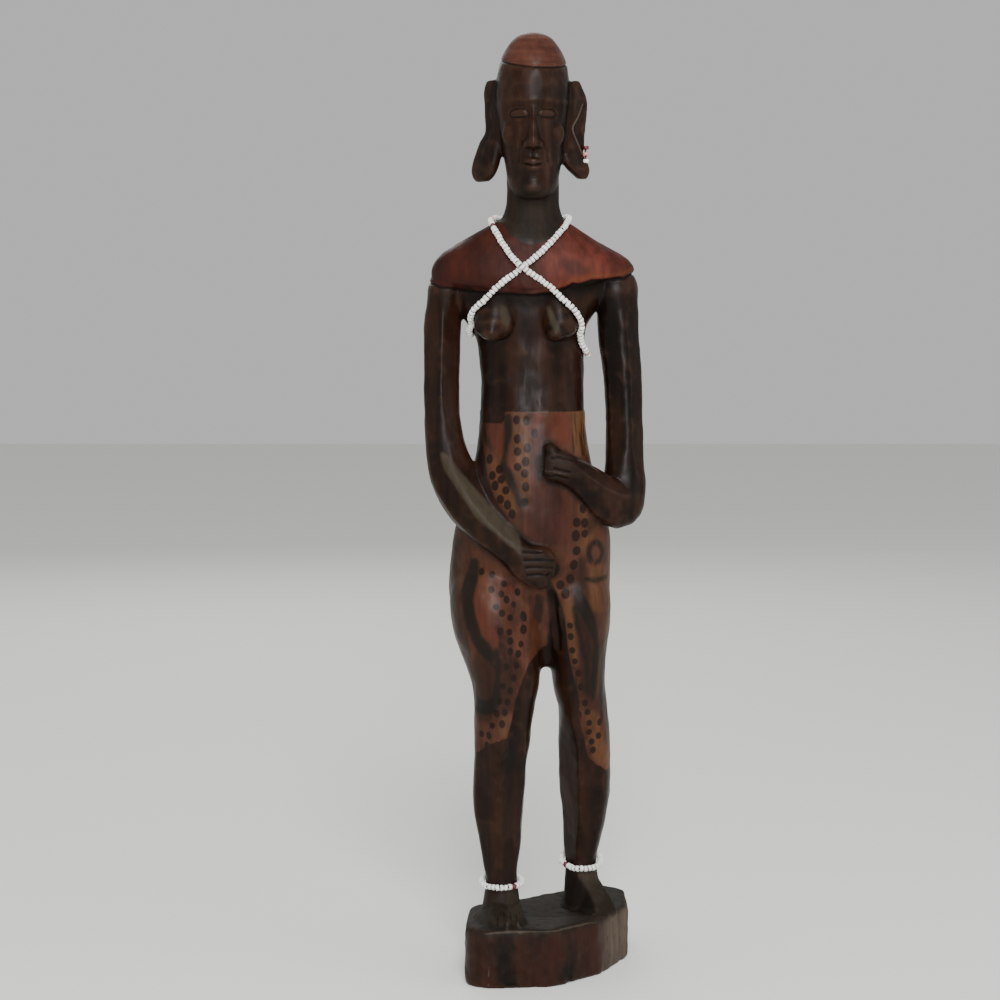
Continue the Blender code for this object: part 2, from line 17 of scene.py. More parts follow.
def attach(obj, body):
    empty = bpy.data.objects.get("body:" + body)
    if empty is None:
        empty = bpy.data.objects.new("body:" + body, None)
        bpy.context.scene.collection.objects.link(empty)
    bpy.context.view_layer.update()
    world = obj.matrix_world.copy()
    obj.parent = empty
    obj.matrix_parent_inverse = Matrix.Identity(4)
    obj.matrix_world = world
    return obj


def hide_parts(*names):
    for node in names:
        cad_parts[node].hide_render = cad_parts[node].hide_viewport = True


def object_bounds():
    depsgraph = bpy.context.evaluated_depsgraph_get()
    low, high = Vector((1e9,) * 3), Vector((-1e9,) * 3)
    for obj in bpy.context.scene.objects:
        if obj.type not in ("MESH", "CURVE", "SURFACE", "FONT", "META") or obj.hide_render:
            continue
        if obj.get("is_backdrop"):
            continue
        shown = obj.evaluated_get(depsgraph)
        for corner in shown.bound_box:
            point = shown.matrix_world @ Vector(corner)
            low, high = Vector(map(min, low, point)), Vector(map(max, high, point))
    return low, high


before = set(bpy.data.objects)
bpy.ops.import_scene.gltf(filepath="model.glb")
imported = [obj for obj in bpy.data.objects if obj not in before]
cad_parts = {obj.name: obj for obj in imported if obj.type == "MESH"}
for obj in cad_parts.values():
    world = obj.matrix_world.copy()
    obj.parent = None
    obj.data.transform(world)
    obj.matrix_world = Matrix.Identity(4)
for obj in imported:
    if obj.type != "MESH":
        bpy.data.objects.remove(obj)
cad_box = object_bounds()

# %% [markdown]
# A carver measures a figure in parts of its own height, so every form here is written in
# thousandths of the woman's height above her block. One helper turns such places into metres.

# %% Turn the carver's measures into metres
FIGURE_HEIGHT = 0.2875
BLOCK_HEIGHT = 0.0176
SHARE = FIGURE_HEIGHT / 1000.0
AXIS = np.array([-0.000242, -0.004108, BLOCK_HEIGHT])


def metres(places):
    """Places in thousandths of the figure become metres: place * share + foot of her axis."""
    return np.asarray(places, float) * SHARE + AXIS


def shares(points):
    """Metres become thousandths of the figure again: (point - foot of her axis) / share."""
    return (np.asarray(points, float) - AXIS) / SHARE


print("one thousandth of the figure is %.4f mm" % (SHARE * 1000))

# %% [markdown]
# The photograph was taken with a long lens from a little above the chest. The camera comes first,
# so that every later step can be judged from the same place.

# %% Set up the camera
LENS_MILLIMETRES = 75.1
FILM_MILLIMETRES = 36.0
CAMERA_PLACE = (-0.01104 + AXIS[0], -0.6778 + AXIS[1], 0.2121)
CAMERA_TILT = math.radians(85.16)

camera_data = bpy.data.cameras.new("front_camera")
camera_data.lens = LENS_MILLIMETRES
camera_data.sensor_width = FILM_MILLIMETRES
camera = bpy.data.objects.new("front_camera", camera_data)
camera.location = CAMERA_PLACE
camera.rotation_euler = (CAMERA_TILT, 0.0, 0.0)
bpy.context.scene.collection.objects.link(camera)
bpy.context.scene.camera = camera
print("camera", tuple(round(value, 4) for value in camera.location))

# %% [markdown]
# Every limb and every part of the body is a surface of two parameters: one runs along the form
# and one runs round it. A table gives some cross sections, and a smooth cubic fills the space
# between them. The section is a superellipse, because knife-cut forms are a little squarer
# than ellipses.

# %% Surfaces through a few cross sections
SIDES = 88


def step(value, low, high):
    """0 below low, 1 above high, and a smooth cubic between."""
    share = np.clip((value - low) / (high - low), 0, 1)
    return share * share * (3 - 2 * share)


def through(rows, spans, steps):
    """The Catmull-Rom cubic through every four rows in turn, each span cut into steps."""
    t = np.linspace(0, 1, steps, endpoint=False)[None, :, None]
    a, b, c, d = (rows[shift:shift + spans, None, :] for shift in range(4))
    dense = 0.5 * (2 * b + (c - a) * t + (2 * a - 5 * b + 4 * c - d) * t ** 2
                   + (3 * b - a - 3 * c + d) * t ** 3)
    return dense.reshape(-1, rows.shape[1])


def finer(rows, steps=6):
    """Rows of numbers made denser, column by column."""
    rows = np.asarray(rows, float)
    padded = np.vstack([rows[:1], rows, rows[-1:]])
    return np.vstack([through(padded, len(rows) - 1, steps), rows[-1:]])


def so_far(line):
    """The length of a line of straight pieces up to each of its points."""
    return np.concatenate([[0], np.cumsum(np.linalg.norm(np.diff(line, axis=0), axis=1))])


def rings(centres, across, deep, widths, depths, roundness=2.2, flats=()):
    """Rows x turns of centre + across * width * cos(t)**(2/n) + deep * depth * sin(t)**(2/n).

    A flat (angle, factor, begin, end) shaves off what stands beyond a plane: the angle is its
    direction from deep towards across, and factor * half the section is how far out it lies.
    """
    turn = np.linspace(0, 2 * np.pi, SIDES, endpoint=False)
    side = np.sign(np.cos(turn)) * np.abs(np.cos(turn)) ** (2 / roundness) * widths[:, None]
    front = np.sign(np.sin(turn)) * np.abs(np.sin(turn)) ** (2 / roundness) * depths[:, None]
    passed = np.linspace(0, 1, len(centres))
    for angle, factor, begin, end in flats:
        outward = np.array([math.sin(math.radians(angle)), math.cos(math.radians(angle))])
        cut = step(passed, begin, begin + 0.15) * step(-passed, -end, 0.15 - end)
        reach = np.hypot(widths * outward[0], depths * outward[1]) * (1.06 - (1.06 - factor) * cut)
        beyond = (side * outward[0] + front * outward[1]) / reach[:, None]
        side = side / np.maximum(beyond, 1)
        front = front / np.maximum(beyond, 1)
    return (centres[:, None, :] + across[:, None, :] * side[..., None]
            + deep[:, None, :] * front[..., None])


def unit(vectors):
    """Vectors divided by their own length."""
    return vectors / np.linalg.norm(vectors, axis=-1, keepdims=True)


def spread(vector, count):
    """One direction repeated for every row."""
    return np.repeat(np.array([vector], float), count, axis=0)


def upright(rows, roundness=2.2, steps=6):
    """A form of level sections from rows of height, left, right, front and back."""
    height, left, right, front, back = finer(rows, steps).T
    centres = np.stack([(left + right) / 2, (front + back) / 2, height], axis=1)
    return rings(centres, spread((1, 0, 0), len(height)), spread((0, 1, 0), len(height)),
                 (right - left) / 2, (back - front) / 2, roundness)


def limb(rows, roundness=2.2, steps=6, flats=()):
    """A form along a curved line from rows of centre, half width and half depth.

    The angle of a flat counts from straight ahead of her towards her left on a hanging limb.
    """
    dense = finer(rows, steps)
    centres = dense[:, :3]
    along = unit(np.gradient(centres, axis=0))
    across = unit(np.cross(along, spread((0, 1, 0), len(dense))))
    deep = np.cross(across, along)
    turned = [(180 - angle, factor, begin, end) for angle, factor, begin, end in flats]
    return rings(centres, across, deep, dense[:, 3], dense[:, 4], roundness, turned)


def foot(rows, roundness=2.4, steps=6, flats=()):
    """A form from heel to toes whose sections stand upright; a flat's angle counts from the top."""
    dense = finer(rows, steps)
    along = unit(np.gradient(dense[:, :3], axis=0))
    up = spread((0, 0, 1), len(dense))
    return rings(dense[:, :3], unit(np.cross(along, up)), up, dense[:, 3], dense[:, 4],
                 roundness, flats)


def egg(across, deep, height, half_width, half_depth, half_height):
    """A sphere stretched three ways, as level rings of radius sin(s) at height -cos(s)."""
    slope = np.linspace(0.12, np.pi - 0.12, 20)
    count = len(slope)
    centres = np.stack([np.full(count, across), np.full(count, deep),
                        height - half_height * np.cos(slope)], axis=1)
    return rings(centres.astype(float), spread((1, 0, 0), count), spread((0, 1, 0), count),
                 half_width * np.sin(slope), half_depth * np.sin(slope), 2.0)


forms = []
print("a section has", SIDES, "points")

# %% [markdown]
# The trunk is one long form from the hips to the armpits. The shoulders are a broad flat yoke that
# ends in an edge standing proud of the chest, and the neck rises out of it.

# %% The trunk, the yoke of the shoulders and the neck
TRUNK = [
    (286, -58, 70, -6, 26), (308, -78, 80, -16, 48), (339, -90, 85, -26, 62),
    (373, -97, 87, -38, 70), (408, -95, 88, -50, 68), (442, -90, 86, -56, 58),
    (476, -79, 76, -57, 48), (515, -69, 66, -54, 40), (545, -63, 60, -50, 36),
    (590, -60, 56, -44, 35), (624, -61, 56, -42, 37), (648, -63, 56, -42, 41),
    (662, -67, 57, -42, 43), (675, -75, 60, -43, 45), (690, -84, 69, -44, 47),
    (706, -92, 80, -43, 48), (722, -94, 86, -41, 47), (736, -88, 82, -34, 40),
]
YOKE = [
    (712, -112, 107, -48, 53), (726, -116, 112, -50, 54), (743, -113, 109, -48, 51),
    (753, -105, 98, -45, 48), (761, -94, 83, -42, 45), (775, -71, 60, -37, 40),
    (787, -49, 42, -32, 35), (794, -37, 33, -29, 32), (808, -32, 28, -27, 30),
    (830, -31, 28, -27, 30), (862, -30, 27, -27, 30),
]
YOKE_EDGE_HEIGHT = 712
YOKE_EDGE_MIDDLE = -16
YOKE_EDGE_RISE = 0.0013


def yoke_edge(across):
    """The height of the yoke's lower edge: lowest + rise * (across - middle)**2."""
    return YOKE_EDGE_HEIGHT + YOKE_EDGE_RISE * (across - YOKE_EDGE_MIDDLE) ** 2


def yoke(rows, steps=6):
    """The yoke, its lowest sections bent to the rising edge less and less with each row."""
    grid = upright(rows, 2.15, steps)
    fade = np.clip(1 - np.arange(len(grid)) / (2 * steps), 0, 1)[:, None]
    grid[..., 2] += (yoke_edge(grid[..., 0]) - YOKE_EDGE_HEIGHT) * fade
    return grid


forms += [upright(TRUNK), yoke(YOKE)]
BREASTS = [
    (-38, -31, 708, 15, 14, 18), (-41, -34, 696, 19, 18, 19), (-44, -37, 684, 23, 20, 19),
    (-45, -39, 675, 23, 22, 17), (-48, -46, 666, 13, 18, 9),
    (23, -31, 706, 14, 14, 18), (25, -34, 695, 17, 18, 19), (27, -37, 684, 20, 20, 19),
    (28, -39, 675, 20, 22, 17), (23, -47, 666, 11, 18, 9),
]
forms += [egg(*row) for row in BREASTS]
print("trunk, yoke and breasts:", len(forms), "forms")

# %% [markdown]
# The head is tall and smooth, shaved above a carved line. The face is a calm general one on the
# proportions that drawing books teach: eyes at half the height of the head, the nose's foot a
# quarter lower, the mouth a third of the way on to the chin.

# %% The head and the forms of the face
HEAD = [
    (814, -13, 10, -38, -8), (819, -21, 18, -42, 4), (827, -27, 24, -44, 20),
    (842, -31, 28, -45, 32), (859, -34, 31, -45, 42), (881, -38, 33, -45, 50),
    (903, -41, 37, -44, 55), (925, -44, 39, -44, 57), (947, -43, 39, -41, 54),
    (969, -38, 35, -33, 46), (986, -30, 26, -22, 36), (995, -21, 17, -12, 24),
    (1000, -9, 5, -1, 12),
]
NOSE = [
    (921, -5.5, 1.5, -43, -30), (910, -6, 2, -46, -30), (900, -6.5, 2.5, -49.5, -30),
    (888, -7.5, 3.5, -54, -30), (879, -9, 5, -58, -30), (873, -10, 6, -59.5, -30),
    (868.5, -8, 4, -57, -30), (866, -5, 1, -50, -30),
]
FACE_MIDDLE = -2
EYE_HEIGHT = 906
EYE_APART = 16
MOUTH_HEIGHT = 850

forms += [upright(HEAD, 2.15), upright(NOSE, 2.0)]
forms += [
    egg(FACE_MIDDLE, 5.5, 921, 42.5, 51.7, 8),
    egg(FACE_MIDDLE, -36, 826, 12, 11, 9),
    egg(FACE_MIDDLE, -41.5, 854, 10.5, 8.5, 4.2),
    egg(FACE_MIDDLE, -41, 846.5, 9.5, 9, 4.4),
]
forms += [egg(FACE_MIDDLE + side * 21, -25, 885, 14, 13.6, 17) for side in (-1, 1)]
forms += [egg(FACE_MIDDLE + side * 7.5, -46.5, 872, 4.2, 6.5, 4.4) for side in (-1, 1)]
print("head and face:", len(forms), "forms so far")

# %% [markdown]
# Her ears are long stretched plates that splay back from the head.

# %% The ears
LEFT_EAR = [
    (947, -48, 6, 5, 4), (940, -46, 7, 10, 7), (925, -44, 8, 13, 8), (905, -43, 8, 14, 8),
    (892, -43, 8, 13, 8), (878, -48, 9, 16, 8), (864, -52, 11, 18, 8), (852, -55, 12, 18, 8),
    (842, -57, 13, 15, 7), (835, -58, 14, 9, 4),
]
RIGHT_EAR = [
    (947, 46, 6, 5, 4), (940, 45, 7, 10, 7), (925, 46, 8, 15, 8), (905, 45, 8, 15, 8),
    (885, 44, 8, 15, 8), (873, 43, 8, 15, 8), (866, 42, 9, 14, 8), (858, 45, 10, 17, 8),
    (849, 49, 11, 15, 8), (842, 52, 12, 10, 6), (838, 54, 13, 6, 4),
]
EAR_SPLAY = math.radians(38)


def ear(rows, side):
    """A thick plate of level sections, turned back by the splay."""
    height, across, deep, length, thickness = finer(rows).T
    along = np.array([side * math.cos(EAR_SPLAY), math.sin(EAR_SPLAY), 0])
    plate = np.array([-along[1], along[0], 0])
    centres = np.stack([across, deep, height], axis=1)
    return rings(centres, spread(along, len(height)), spread(plate, len(height)),
                 length, thickness, 2.6)


forms += [ear(LEFT_EAR, -1), ear(RIGHT_EAR, 1)]
print("with ears:", len(forms))

# %% [markdown]
# The arms hang long and thin. One hand lies low across the hip and the other is raised to the
# belly, with its thumb up.

# %% The arms
LEFT_ARM = [
    (-96, 4, 734, 15, 18), (-99, 3, 716, 20, 27), (-101, 1, 695, 20, 25),
    (-103, -1, 669, 21, 23), (-104, -4, 624, 20, 21), (-104, -6, 590, 20, 21),
    (-102, -9, 556, 21, 22), (-97, -15, 526, 24, 22), (-87, -25, 500, 28, 22),
    (-72, -36, 475, 28, 21), (-54, -44, 455, 25, 19), (-36, -50, 437, 21, 17),
    (-20, -54, 422, 19, 15), (-6, -57, 410, 23, 13), (8, -58, 404, 25, 11),
    (16, -57, 402, 22, 9), (20, -55, 401, 16, 6),
]
RIGHT_ARM = [
    (90, 4, 738, 16, 18), (92, 3, 718, 24, 27), (94, 1, 695, 23, 25), (95, -1, 669, 23, 23),
    (99, -4, 624, 22, 21), (101, -6, 590, 21, 21), (102, -8, 552, 21, 21),
    (102, -10, 520, 22, 22), (101, -14, 494, 25, 22), (95, -22, 474, 27, 22),
    (80, -33, 482, 24, 19), (62, -43, 498, 20, 17), (44, -51, 511, 17, 15),
    (30, -55, 518, 18, 13), (19, -57, 521, 18, 11), (12, -56, 522, 14, 8),
]
THUMB = [(32, -56, 522, 8, 9), (23, -57, 529, 8, 9), (18, -55, 537, 7, 8), (15, -52, 543, 4, 5)]
LEFT_ARM_FLATS = [(-35, 0.88, 0.05, 0.45), (35, 0.88, 0.05, 0.45), (38, 0.80, 0.36, 0.80),
                  (-24, 0.85, 0.40, 0.86), (82, 0.86, 0.42, 0.86), (-75, 0.92, 0.40, 0.90)]
RIGHT_ARM_FLATS = [(52, 0.88, 0.05, 0.55), (-22, 0.92, 0.05, 0.55), (-50, 0.86, 0.58, 0.92),
                   (28, 0.88, 0.58, 0.92)]
forms += [limb(LEFT_ARM, flats=LEFT_ARM_FLATS), limb(RIGHT_ARM, flats=RIGHT_ARM_FLATS),
          limb(THUMB, 2.0)]
print("with arms:", len(forms))

# %% [markdown]
# The legs stand one before the other, thick at the thigh and narrow at the ankle.

# %% The legs and the feet
LEFT_LEG = [
    (-38, 4, 424, 20, 24), (-42, 2, 404, 34, 38), (-46, 0, 384, 43, 48), (-48, -2, 362, 48, 52),
    (-41, -6, 330, 49, 52), (-35, -10, 296, 43, 47), (-32, -13, 273, 39, 43),
    (-33, -15, 250, 35, 40), (-35, -18, 227, 33, 37), (-36, -20, 205, 32, 35),
    (-38, -19, 182, 30, 33), (-39, -15, 159, 30, 33), (-40, -13, 136, 29, 32),
    (-40, -14, 113, 27, 30), (-38, -17, 90, 24, 26), (-38, -20, 68, 21, 22),
    (-37, -22, 46, 18, 20), (-37, -22, 25, 20, 25), (-37, -22, 4, 23, 30), (-37, -22, -10, 23, 30),
]
RIGHT_LEG = [
    (36, 6, 424, 20, 24), (40, 6, 404, 32, 38), (44, 6, 384, 38, 46), (47, 6, 362, 41, 50),
    (50, 8, 338, 38, 48), (51, 11, 302, 33, 43), (52, 14, 267, 30, 39), (56, 17, 243, 28, 37),
    (58, 19, 219, 29, 35), (59, 21, 195, 30, 33), (60, 27, 159, 30, 33), (60, 32, 136, 29, 32),
    (60, 34, 111, 26, 29), (58, 36, 87, 23, 24), (56, 38, 66, 20, 21), (56, 39, 50, 18, 20),
    (57, 37, 28, 20, 24), (59, 35, 4, 24, 30), (59, 35, -10, 24, 30),
]
LEFT_FOOT = [
    (-39, 14, 2, 12, 12), (-38, 4, 4, 18, 18), (-37, -20, 8, 22, 24), (-36, -44, 4, 24, 19),
    (-35, -62, 0, 25, 13), (-34, -76, -2, 23, 9), (-34, -82, -3, 16, 5),
]
RIGHT_FOOT = [
    (50, 70, 2, 12, 12), (53, 62, 4, 18, 18), (59, 42, 8, 21, 30), (66, 24, 5, 21, 27),
    (72, 10, 3, 21, 20), (77, -2, 1, 20, 13), (80, -10, -1, 17, 8), (81, -14, -2, 12, 5),
]
MOUND = [
    (-44, 22, -14, 14, 14), (-46, 0, -12, 22, 20), (-46, -36, -12, 24, 22),
    (-44, -66, -12, 20, 17), (-42, -84, -14, 10, 10),
]
LEFT_LEG_FLATS = [(-38, 0.88, 0.38, 0.92), (34, 0.88, 0.38, 0.92)]
RIGHT_LEG_FLATS = [(-52, 0.82, 0.38, 0.97), (14, 0.88, 0.38, 0.92)]
forms += [limb(LEFT_LEG, flats=LEFT_LEG_FLATS), limb(RIGHT_LEG, flats=RIGHT_LEG_FLATS)]
forms += [foot(LEFT_FOOT, flats=[(50, 0.82, 0.1, 1.2), (-20, 0.82, 0.1, 1.2)]), foot(MOUND)]
forms += [foot(RIGHT_FOOT, flats=[(-12, 0.78, 0.1, 1.2), (62, 0.74, 0.1, 1.2)])]
print("with legs and feet:", len(forms))

# %% [markdown]
# The block under her feet was left rough: an uneven plan with eight rounded corners, flat below.
# The plan is carried up in a few levels that draw in a little at both rims.

# %% The block
BLOCK_CORNERS = [
    (-1.00, -1.00), (0.06, -0.92), (0.62, -0.50), (1.00, 0.14), (1.00, 1.00), (0.56, 1.00),
    (-0.28, 0.46), (-0.96, 0.18),
]
BLOCK_MIDDLE = np.array([(-0.02255 + 0.03205) / 2, (-0.02727 + 0.03472) / 2]) / SHARE
BLOCK_HALF = np.array([0.0546 / 2, 0.0620 / 2]) / SHARE
CORNER_RADIUS = 0.0080 / SHARE


def rounded_plan(corners, radius, steps=12):
    """The outline with each corner replaced by an arc: middle + radius * (cos, sin)."""
    before = unit(np.roll(corners, 1, axis=0) - corners)
    after = unit(np.roll(corners, -1, axis=0) - corners)
    half = np.arccos((before * after).sum(1)) / 2
    middle = corners + unit(before + after) * (radius / np.sin(half))[:, None]
    start = corners + before * (radius / np.tan(half))[:, None] - middle
    end = corners + after * (radius / np.tan(half))[:, None] - middle
    share = np.linspace(0, 1, steps + 1)[None, :, None]
    spokes = unit(start[:, None] * (1 - share) + end[:, None] * share) * radius
    return (middle[:, None] + spokes).reshape(-1, 2)


def block_form():
    """The plan carried up: level z, drawn in by (1 - inset) near the lower and the upper rim."""
    plan = rounded_plan(np.array(BLOCK_CORNERS) * BLOCK_HALF, CORNER_RADIUS)
    levels = [(-61.2, 0.985), (-60.4, 0.993), (-58.5, 1.0), (-30, 1.0), (-8, 1.0), (-3.5, 0.992),
              (-1.2, 0.975), (0.0, 0.94)]
    return np.stack([np.column_stack([BLOCK_MIDDLE + plan * inset, np.full(len(plan), level)])
                     for level, inset in levels])


forms.append(block_form())
print("forms in all:", len(forms))

# %% [markdown]
# All these closed forms overlap. A voxel remesh makes them one skin, as they are one piece of
# wood, and a few rounds of averaging rub the joints smooth. The mesh itself comes straight
# from number arrays.

# %% Make one skin of all the forms
CELL = 0.00042


def mesh_of(name, points, faces):
    """A mesh straight from arrays: points, and a list of face arrays with equal corner counts."""
    mesh = bpy.data.meshes.new(name)
    corners = np.concatenate([part.ravel() for part in faces]).astype(np.int32)
    totals = np.concatenate([np.full(len(part), part.shape[1]) for part in faces])
    mesh.vertices.add(len(points))
    mesh.vertices.foreach_set("co", np.asarray(points, np.float32).ravel())
    mesh.loops.add(len(corners))
    mesh.loops.foreach_set("vertex_index", corners)
    mesh.polygons.add(len(totals))
    mesh.polygons.foreach_set("loop_start", (np.cumsum(totals) - totals).astype(np.int32))
    mesh.update(calc_edges=True)
    mesh.validate()
    return mesh


def closed_faces(rows, turns, first=0):
    """Faces of a grid that closes round itself, with one flat face at each end."""
    index = first + np.arange(rows * turns).reshape(rows, turns)
    beside = np.roll(index, -1, axis=1)
    quads = np.stack([index[:-1], beside[:-1], beside[1:], index[1:]], axis=-1).reshape(-1, 4)
    return [quads, index[:1, ::-1], index[-1:]]


def added(name, mesh):
    """A new object for a mesh, linked to the scene."""
    thing = bpy.data.objects.new(name, mesh)
    bpy.context.scene.collection.objects.link(thing)
    return thing


def applied(thing):
    """The object's mesh with its modifiers worked in; the object itself goes."""
    graph = bpy.context.evaluated_depsgraph_get()
    graph.update()
    mesh = bpy.data.meshes.new_from_object(thing.evaluated_get(graph))
    bpy.data.objects.remove(thing)
    return mesh


def numbers(items, name, width, kind=np.float32):
    """One property of many mesh items as an array."""
    values = np.empty(len(items) * width, kind)
    items.foreach_get(name, values)
    return values.reshape(-1, width) if width > 1 else values


def join_forms():
    """Every closed form in one mesh, remeshed at one cell size to a single skin."""
    points, faces, first = [], [], 0
    for grid in forms:
        points.append(metres(grid).reshape(-1, 3))
        faces += closed_faces(grid.shape[0], grid.shape[1], first)
        first += grid.shape[0] * grid.shape[1]
    rough = added("rough_forms", mesh_of("rough_forms", np.vstack(points), faces))
    skin = rough.modifiers.new("one_skin", "REMESH")
    skin.mode = "VOXEL"
    skin.voxel_size = CELL
    return applied(rough)


def rubbed(points, edges, rounds, strength=0.5):
    """Each point moves by strength towards the average of its neighbours, round after round."""
    count = np.bincount(edges.ravel(), minlength=len(points))[:, None]
    for _ in range(rounds):
        total = np.zeros_like(points)
        for axis in range(3):
            total[:, axis] = (np.bincount(edges[:, 0], points[edges[:, 1], axis], len(points))
                              + np.bincount(edges[:, 1], points[edges[:, 0], axis], len(points)))
        points = points + strength * (total / count - points)
    return points


skin = join_forms()
edges = numbers(skin.edges, "vertices", 2, np.int32)
wood_points = rubbed(numbers(skin.vertices, "co", 3).astype(float), edges, 6)
print("skin points:", len(wood_points))

# %% [markdown]
# Carving moves the skin along its normal. The tools below work in the figure's own measures: a
# line is laid on the wood by looking at it from one side, and a cut falls off smoothly with the
# distance from that line.

# %% Tools for carving
VIEWS = {
    "front": (np.array([0, -300, 0]), np.array([0, 1, 0])),
    "back": (np.array([0, 300, 0]), np.array([0, -1, 0])),
    "left": (np.array([-300, 0, 0]), np.array([1, 0, 0])),
    "right": (np.array([300, 0, 0]), np.array([-1, 0, 0])),
}


def set_points(mesh, points):
    """Writes the points back and lets the mesh work out its normals."""
    mesh.vertices.foreach_set("co", np.asarray(points, np.float32).ravel())
    mesh.update()


def surface_of(mesh):
    """A search tree over the mesh, in thousandths of the figure."""
    points = shares(numbers(mesh.vertices, "co", 3))
    return BVHTree.FromPolygons([Vector(point) for point in points],
                                [tuple(face.vertices) for face in mesh.polygons])


def laid(line, view="front"):
    """Points on the wood under a line seen from one side; the line gives side and height."""
    offset, ahead = VIEWS[view]
    found = []
    for side, height in line:
        place = np.array([side, 0, height]) if offset[1] else np.array([0, side, height])
        hit = surface.ray_cast(Vector(place + offset), Vector(ahead))[0]
        found.append(hit or surface.find_nearest(Vector(place))[0])
    return np.array([tuple(point) for point in found])


def from_line(places, line):
    """Distance from a line of straight pieces, and the share of it passed at the nearest point."""
    low, high = line.min(0) - 30, line.max(0) + 30
    close = np.flatnonzero(((places > low) & (places < high)).all(1))
    some = places[close]
    best = np.full(len(some), 1e9)
    passed = np.zeros(len(some))
    lengths = np.linalg.norm(np.diff(line, axis=0), axis=1)
    starts = np.concatenate([[0], np.cumsum(lengths)])
    for start, end, begun, length in zip(line, line[1:], starts, lengths):
        share = np.clip((some - start) @ (end - start) / max(length ** 2, 1e-9), 0, 1)
        gap = np.linalg.norm(some - start - share[:, None] * (end - start), axis=1)
        closer = gap < best
        best[closer] = gap[closer]
        passed[closer] = (begun + share[closer] * length) / starts[-1]
    distance = np.full(len(places), 1e9)
    distance[close] = best
    fraction = np.zeros(len(places))
    fraction[close] = passed
    return distance, fraction


def dip(distance, half_width):
    """A round-bottomed profile: (1 - (distance / half width)**2)**2, and 0 outside."""
    return np.clip(1 - (distance / half_width) ** 2, 0, None) ** 2


set_points(skin, metres(shares(wood_points)))
surface = surface_of(skin)
print("front of the chest lies at", np.round(laid([(0, 690)]), 1))

# %% [markdown]
# Where the thighs grow out of the hips and the arms out of the shoulders, a carver rubs the wood
# until no seam is left. The averaging is repeated there, with a strength for each point.

# %% Rub the joints of the body smooth
def off_limb(places, rows, begin=0.0):
    """How far outside a limb's own surface a point lies; negative on the limb itself."""
    dense = finer(rows)
    distance, passed = from_line(places, dense[:, :3])
    at = np.linspace(0, 1, len(dense))
    lengths = so_far(dense[:, :3])
    size = np.interp(passed, lengths / lengths[-1], (dense[:, 3] + dense[:, 4]) / 2)
    return np.where(passed > begin, distance - size * 1.04, 50.0)


places = shares(wood_points)
arms_away = np.minimum(off_limb(places, LEFT_ARM, 0.3), off_limb(places, RIGHT_ARM, 0.3))
height = places[:, 2]
hips = step(height, 262, 284) * step(-height, -440, -410) * step(arms_away, 0, 4)
chest = (0.22 + 0.58 * step(height, 676, 694)) * step(height, 655, 668)
chest = chest * step(-height, -735, -716) * step(-places[:, 1], 8, 18)
face = step(height, 822, 835) * step(-height, -945, -930) * step(-places[:, 1], 15, 25) * 0.10
strength = np.clip(hips + chest + face, 0, 1) * 0.5
places = shares(rubbed(wood_points, edges, 60, strength[:, None]))
print("joints rubbed smooth")

# %% [markdown]
# Now the finer cuts: the line round the shaved head, the eyes and the mouth, the hollows of the
# ears, the fingers and toes, the edge of the yoke and the knife's small unevenness everywhere.

# %% Cut the lines and the face
def skin_normals(places):
    """The outward direction at every point once the skin has been moved."""
    set_points(skin, metres(places))
    return numbers(skin.vertices, "normal", 3)


set_points(skin, metres(rubbed(places, edges, 1)))
surface = surface_of(skin)
places = shares(numbers(skin.vertices, "co", 3))
normals = skin_normals(places)
across, deep, height = places.T
lift = np.zeros(len(places))

CAP_HEIGHT = 966
CAP_DROP = 10
CAP_TILT = 0.07


def above_cap_line(places):
    """How far a point lies above the line round the head, which is lower in front."""
    return places[:, 2] - CAP_HEIGHT - CAP_DROP * places[:, 1] / 45 + CAP_TILT * places[:, 0]


lift -= 1.5 * dip(above_cap_line(places), 2.2)

in_front = step(-deep, 22, 30)
for side in (-1, 1):
    u = (across - FACE_MIDDLE - side * EYE_APART) / 10.0
    v = (height - EYE_HEIGHT - 0.8 * (1 - u ** 2)) / 4.4
    hollow = np.exp(-(u / 1.25) ** 2 - ((height - EYE_HEIGHT - 1) / 9.0) ** 2)
    almond = np.sqrt(np.abs(u) ** 2.6 + np.abs(v) ** 1.9)
    lift += in_front * (-3.0 * hollow + 2.4 * np.clip(1 - almond ** 2, 0, 1) ** 0.5)
    lift -= in_front * 0.9 * np.exp(-((almond - 1.05) / 0.12) ** 2)
    lift += in_front * 0.7 * np.exp(-((almond - 1.32) / 0.14) ** 2) * step(v, -0.4, 0.3)
mouth = np.abs(across - FACE_MIDDLE) / 10.5
lips = height - MOUTH_HEIGHT - 1.2 * mouth ** 2 + 0.8 * np.exp(-((across - FACE_MIDDLE) / 2.5) ** 2)
lift -= in_front * 2.1 * dip(lips, 1.7) * step(1.12 - mouth, 0, 0.25)
groove = in_front * 0.9 * dip(across - FACE_MIDDLE, 2.2)
lift -= groove * step(height, 856, 859) * step(-height, -867, -864)
for side in (-1, 1):
    crease = laid([(FACE_MIDDLE + side * out, at) for out, at in ((12, 876), (15, 866), (16, 854))])
    lift -= 0.9 * dip(from_line(places, crease)[0], 2.6)
    nostril = laid([(FACE_MIDDLE + side * 4, 866.5), (FACE_MIDDLE + side * 6.5, 867)])
    lift -= 1.4 * dip(from_line(places, nostril)[0], 2.2)
print("face cut")

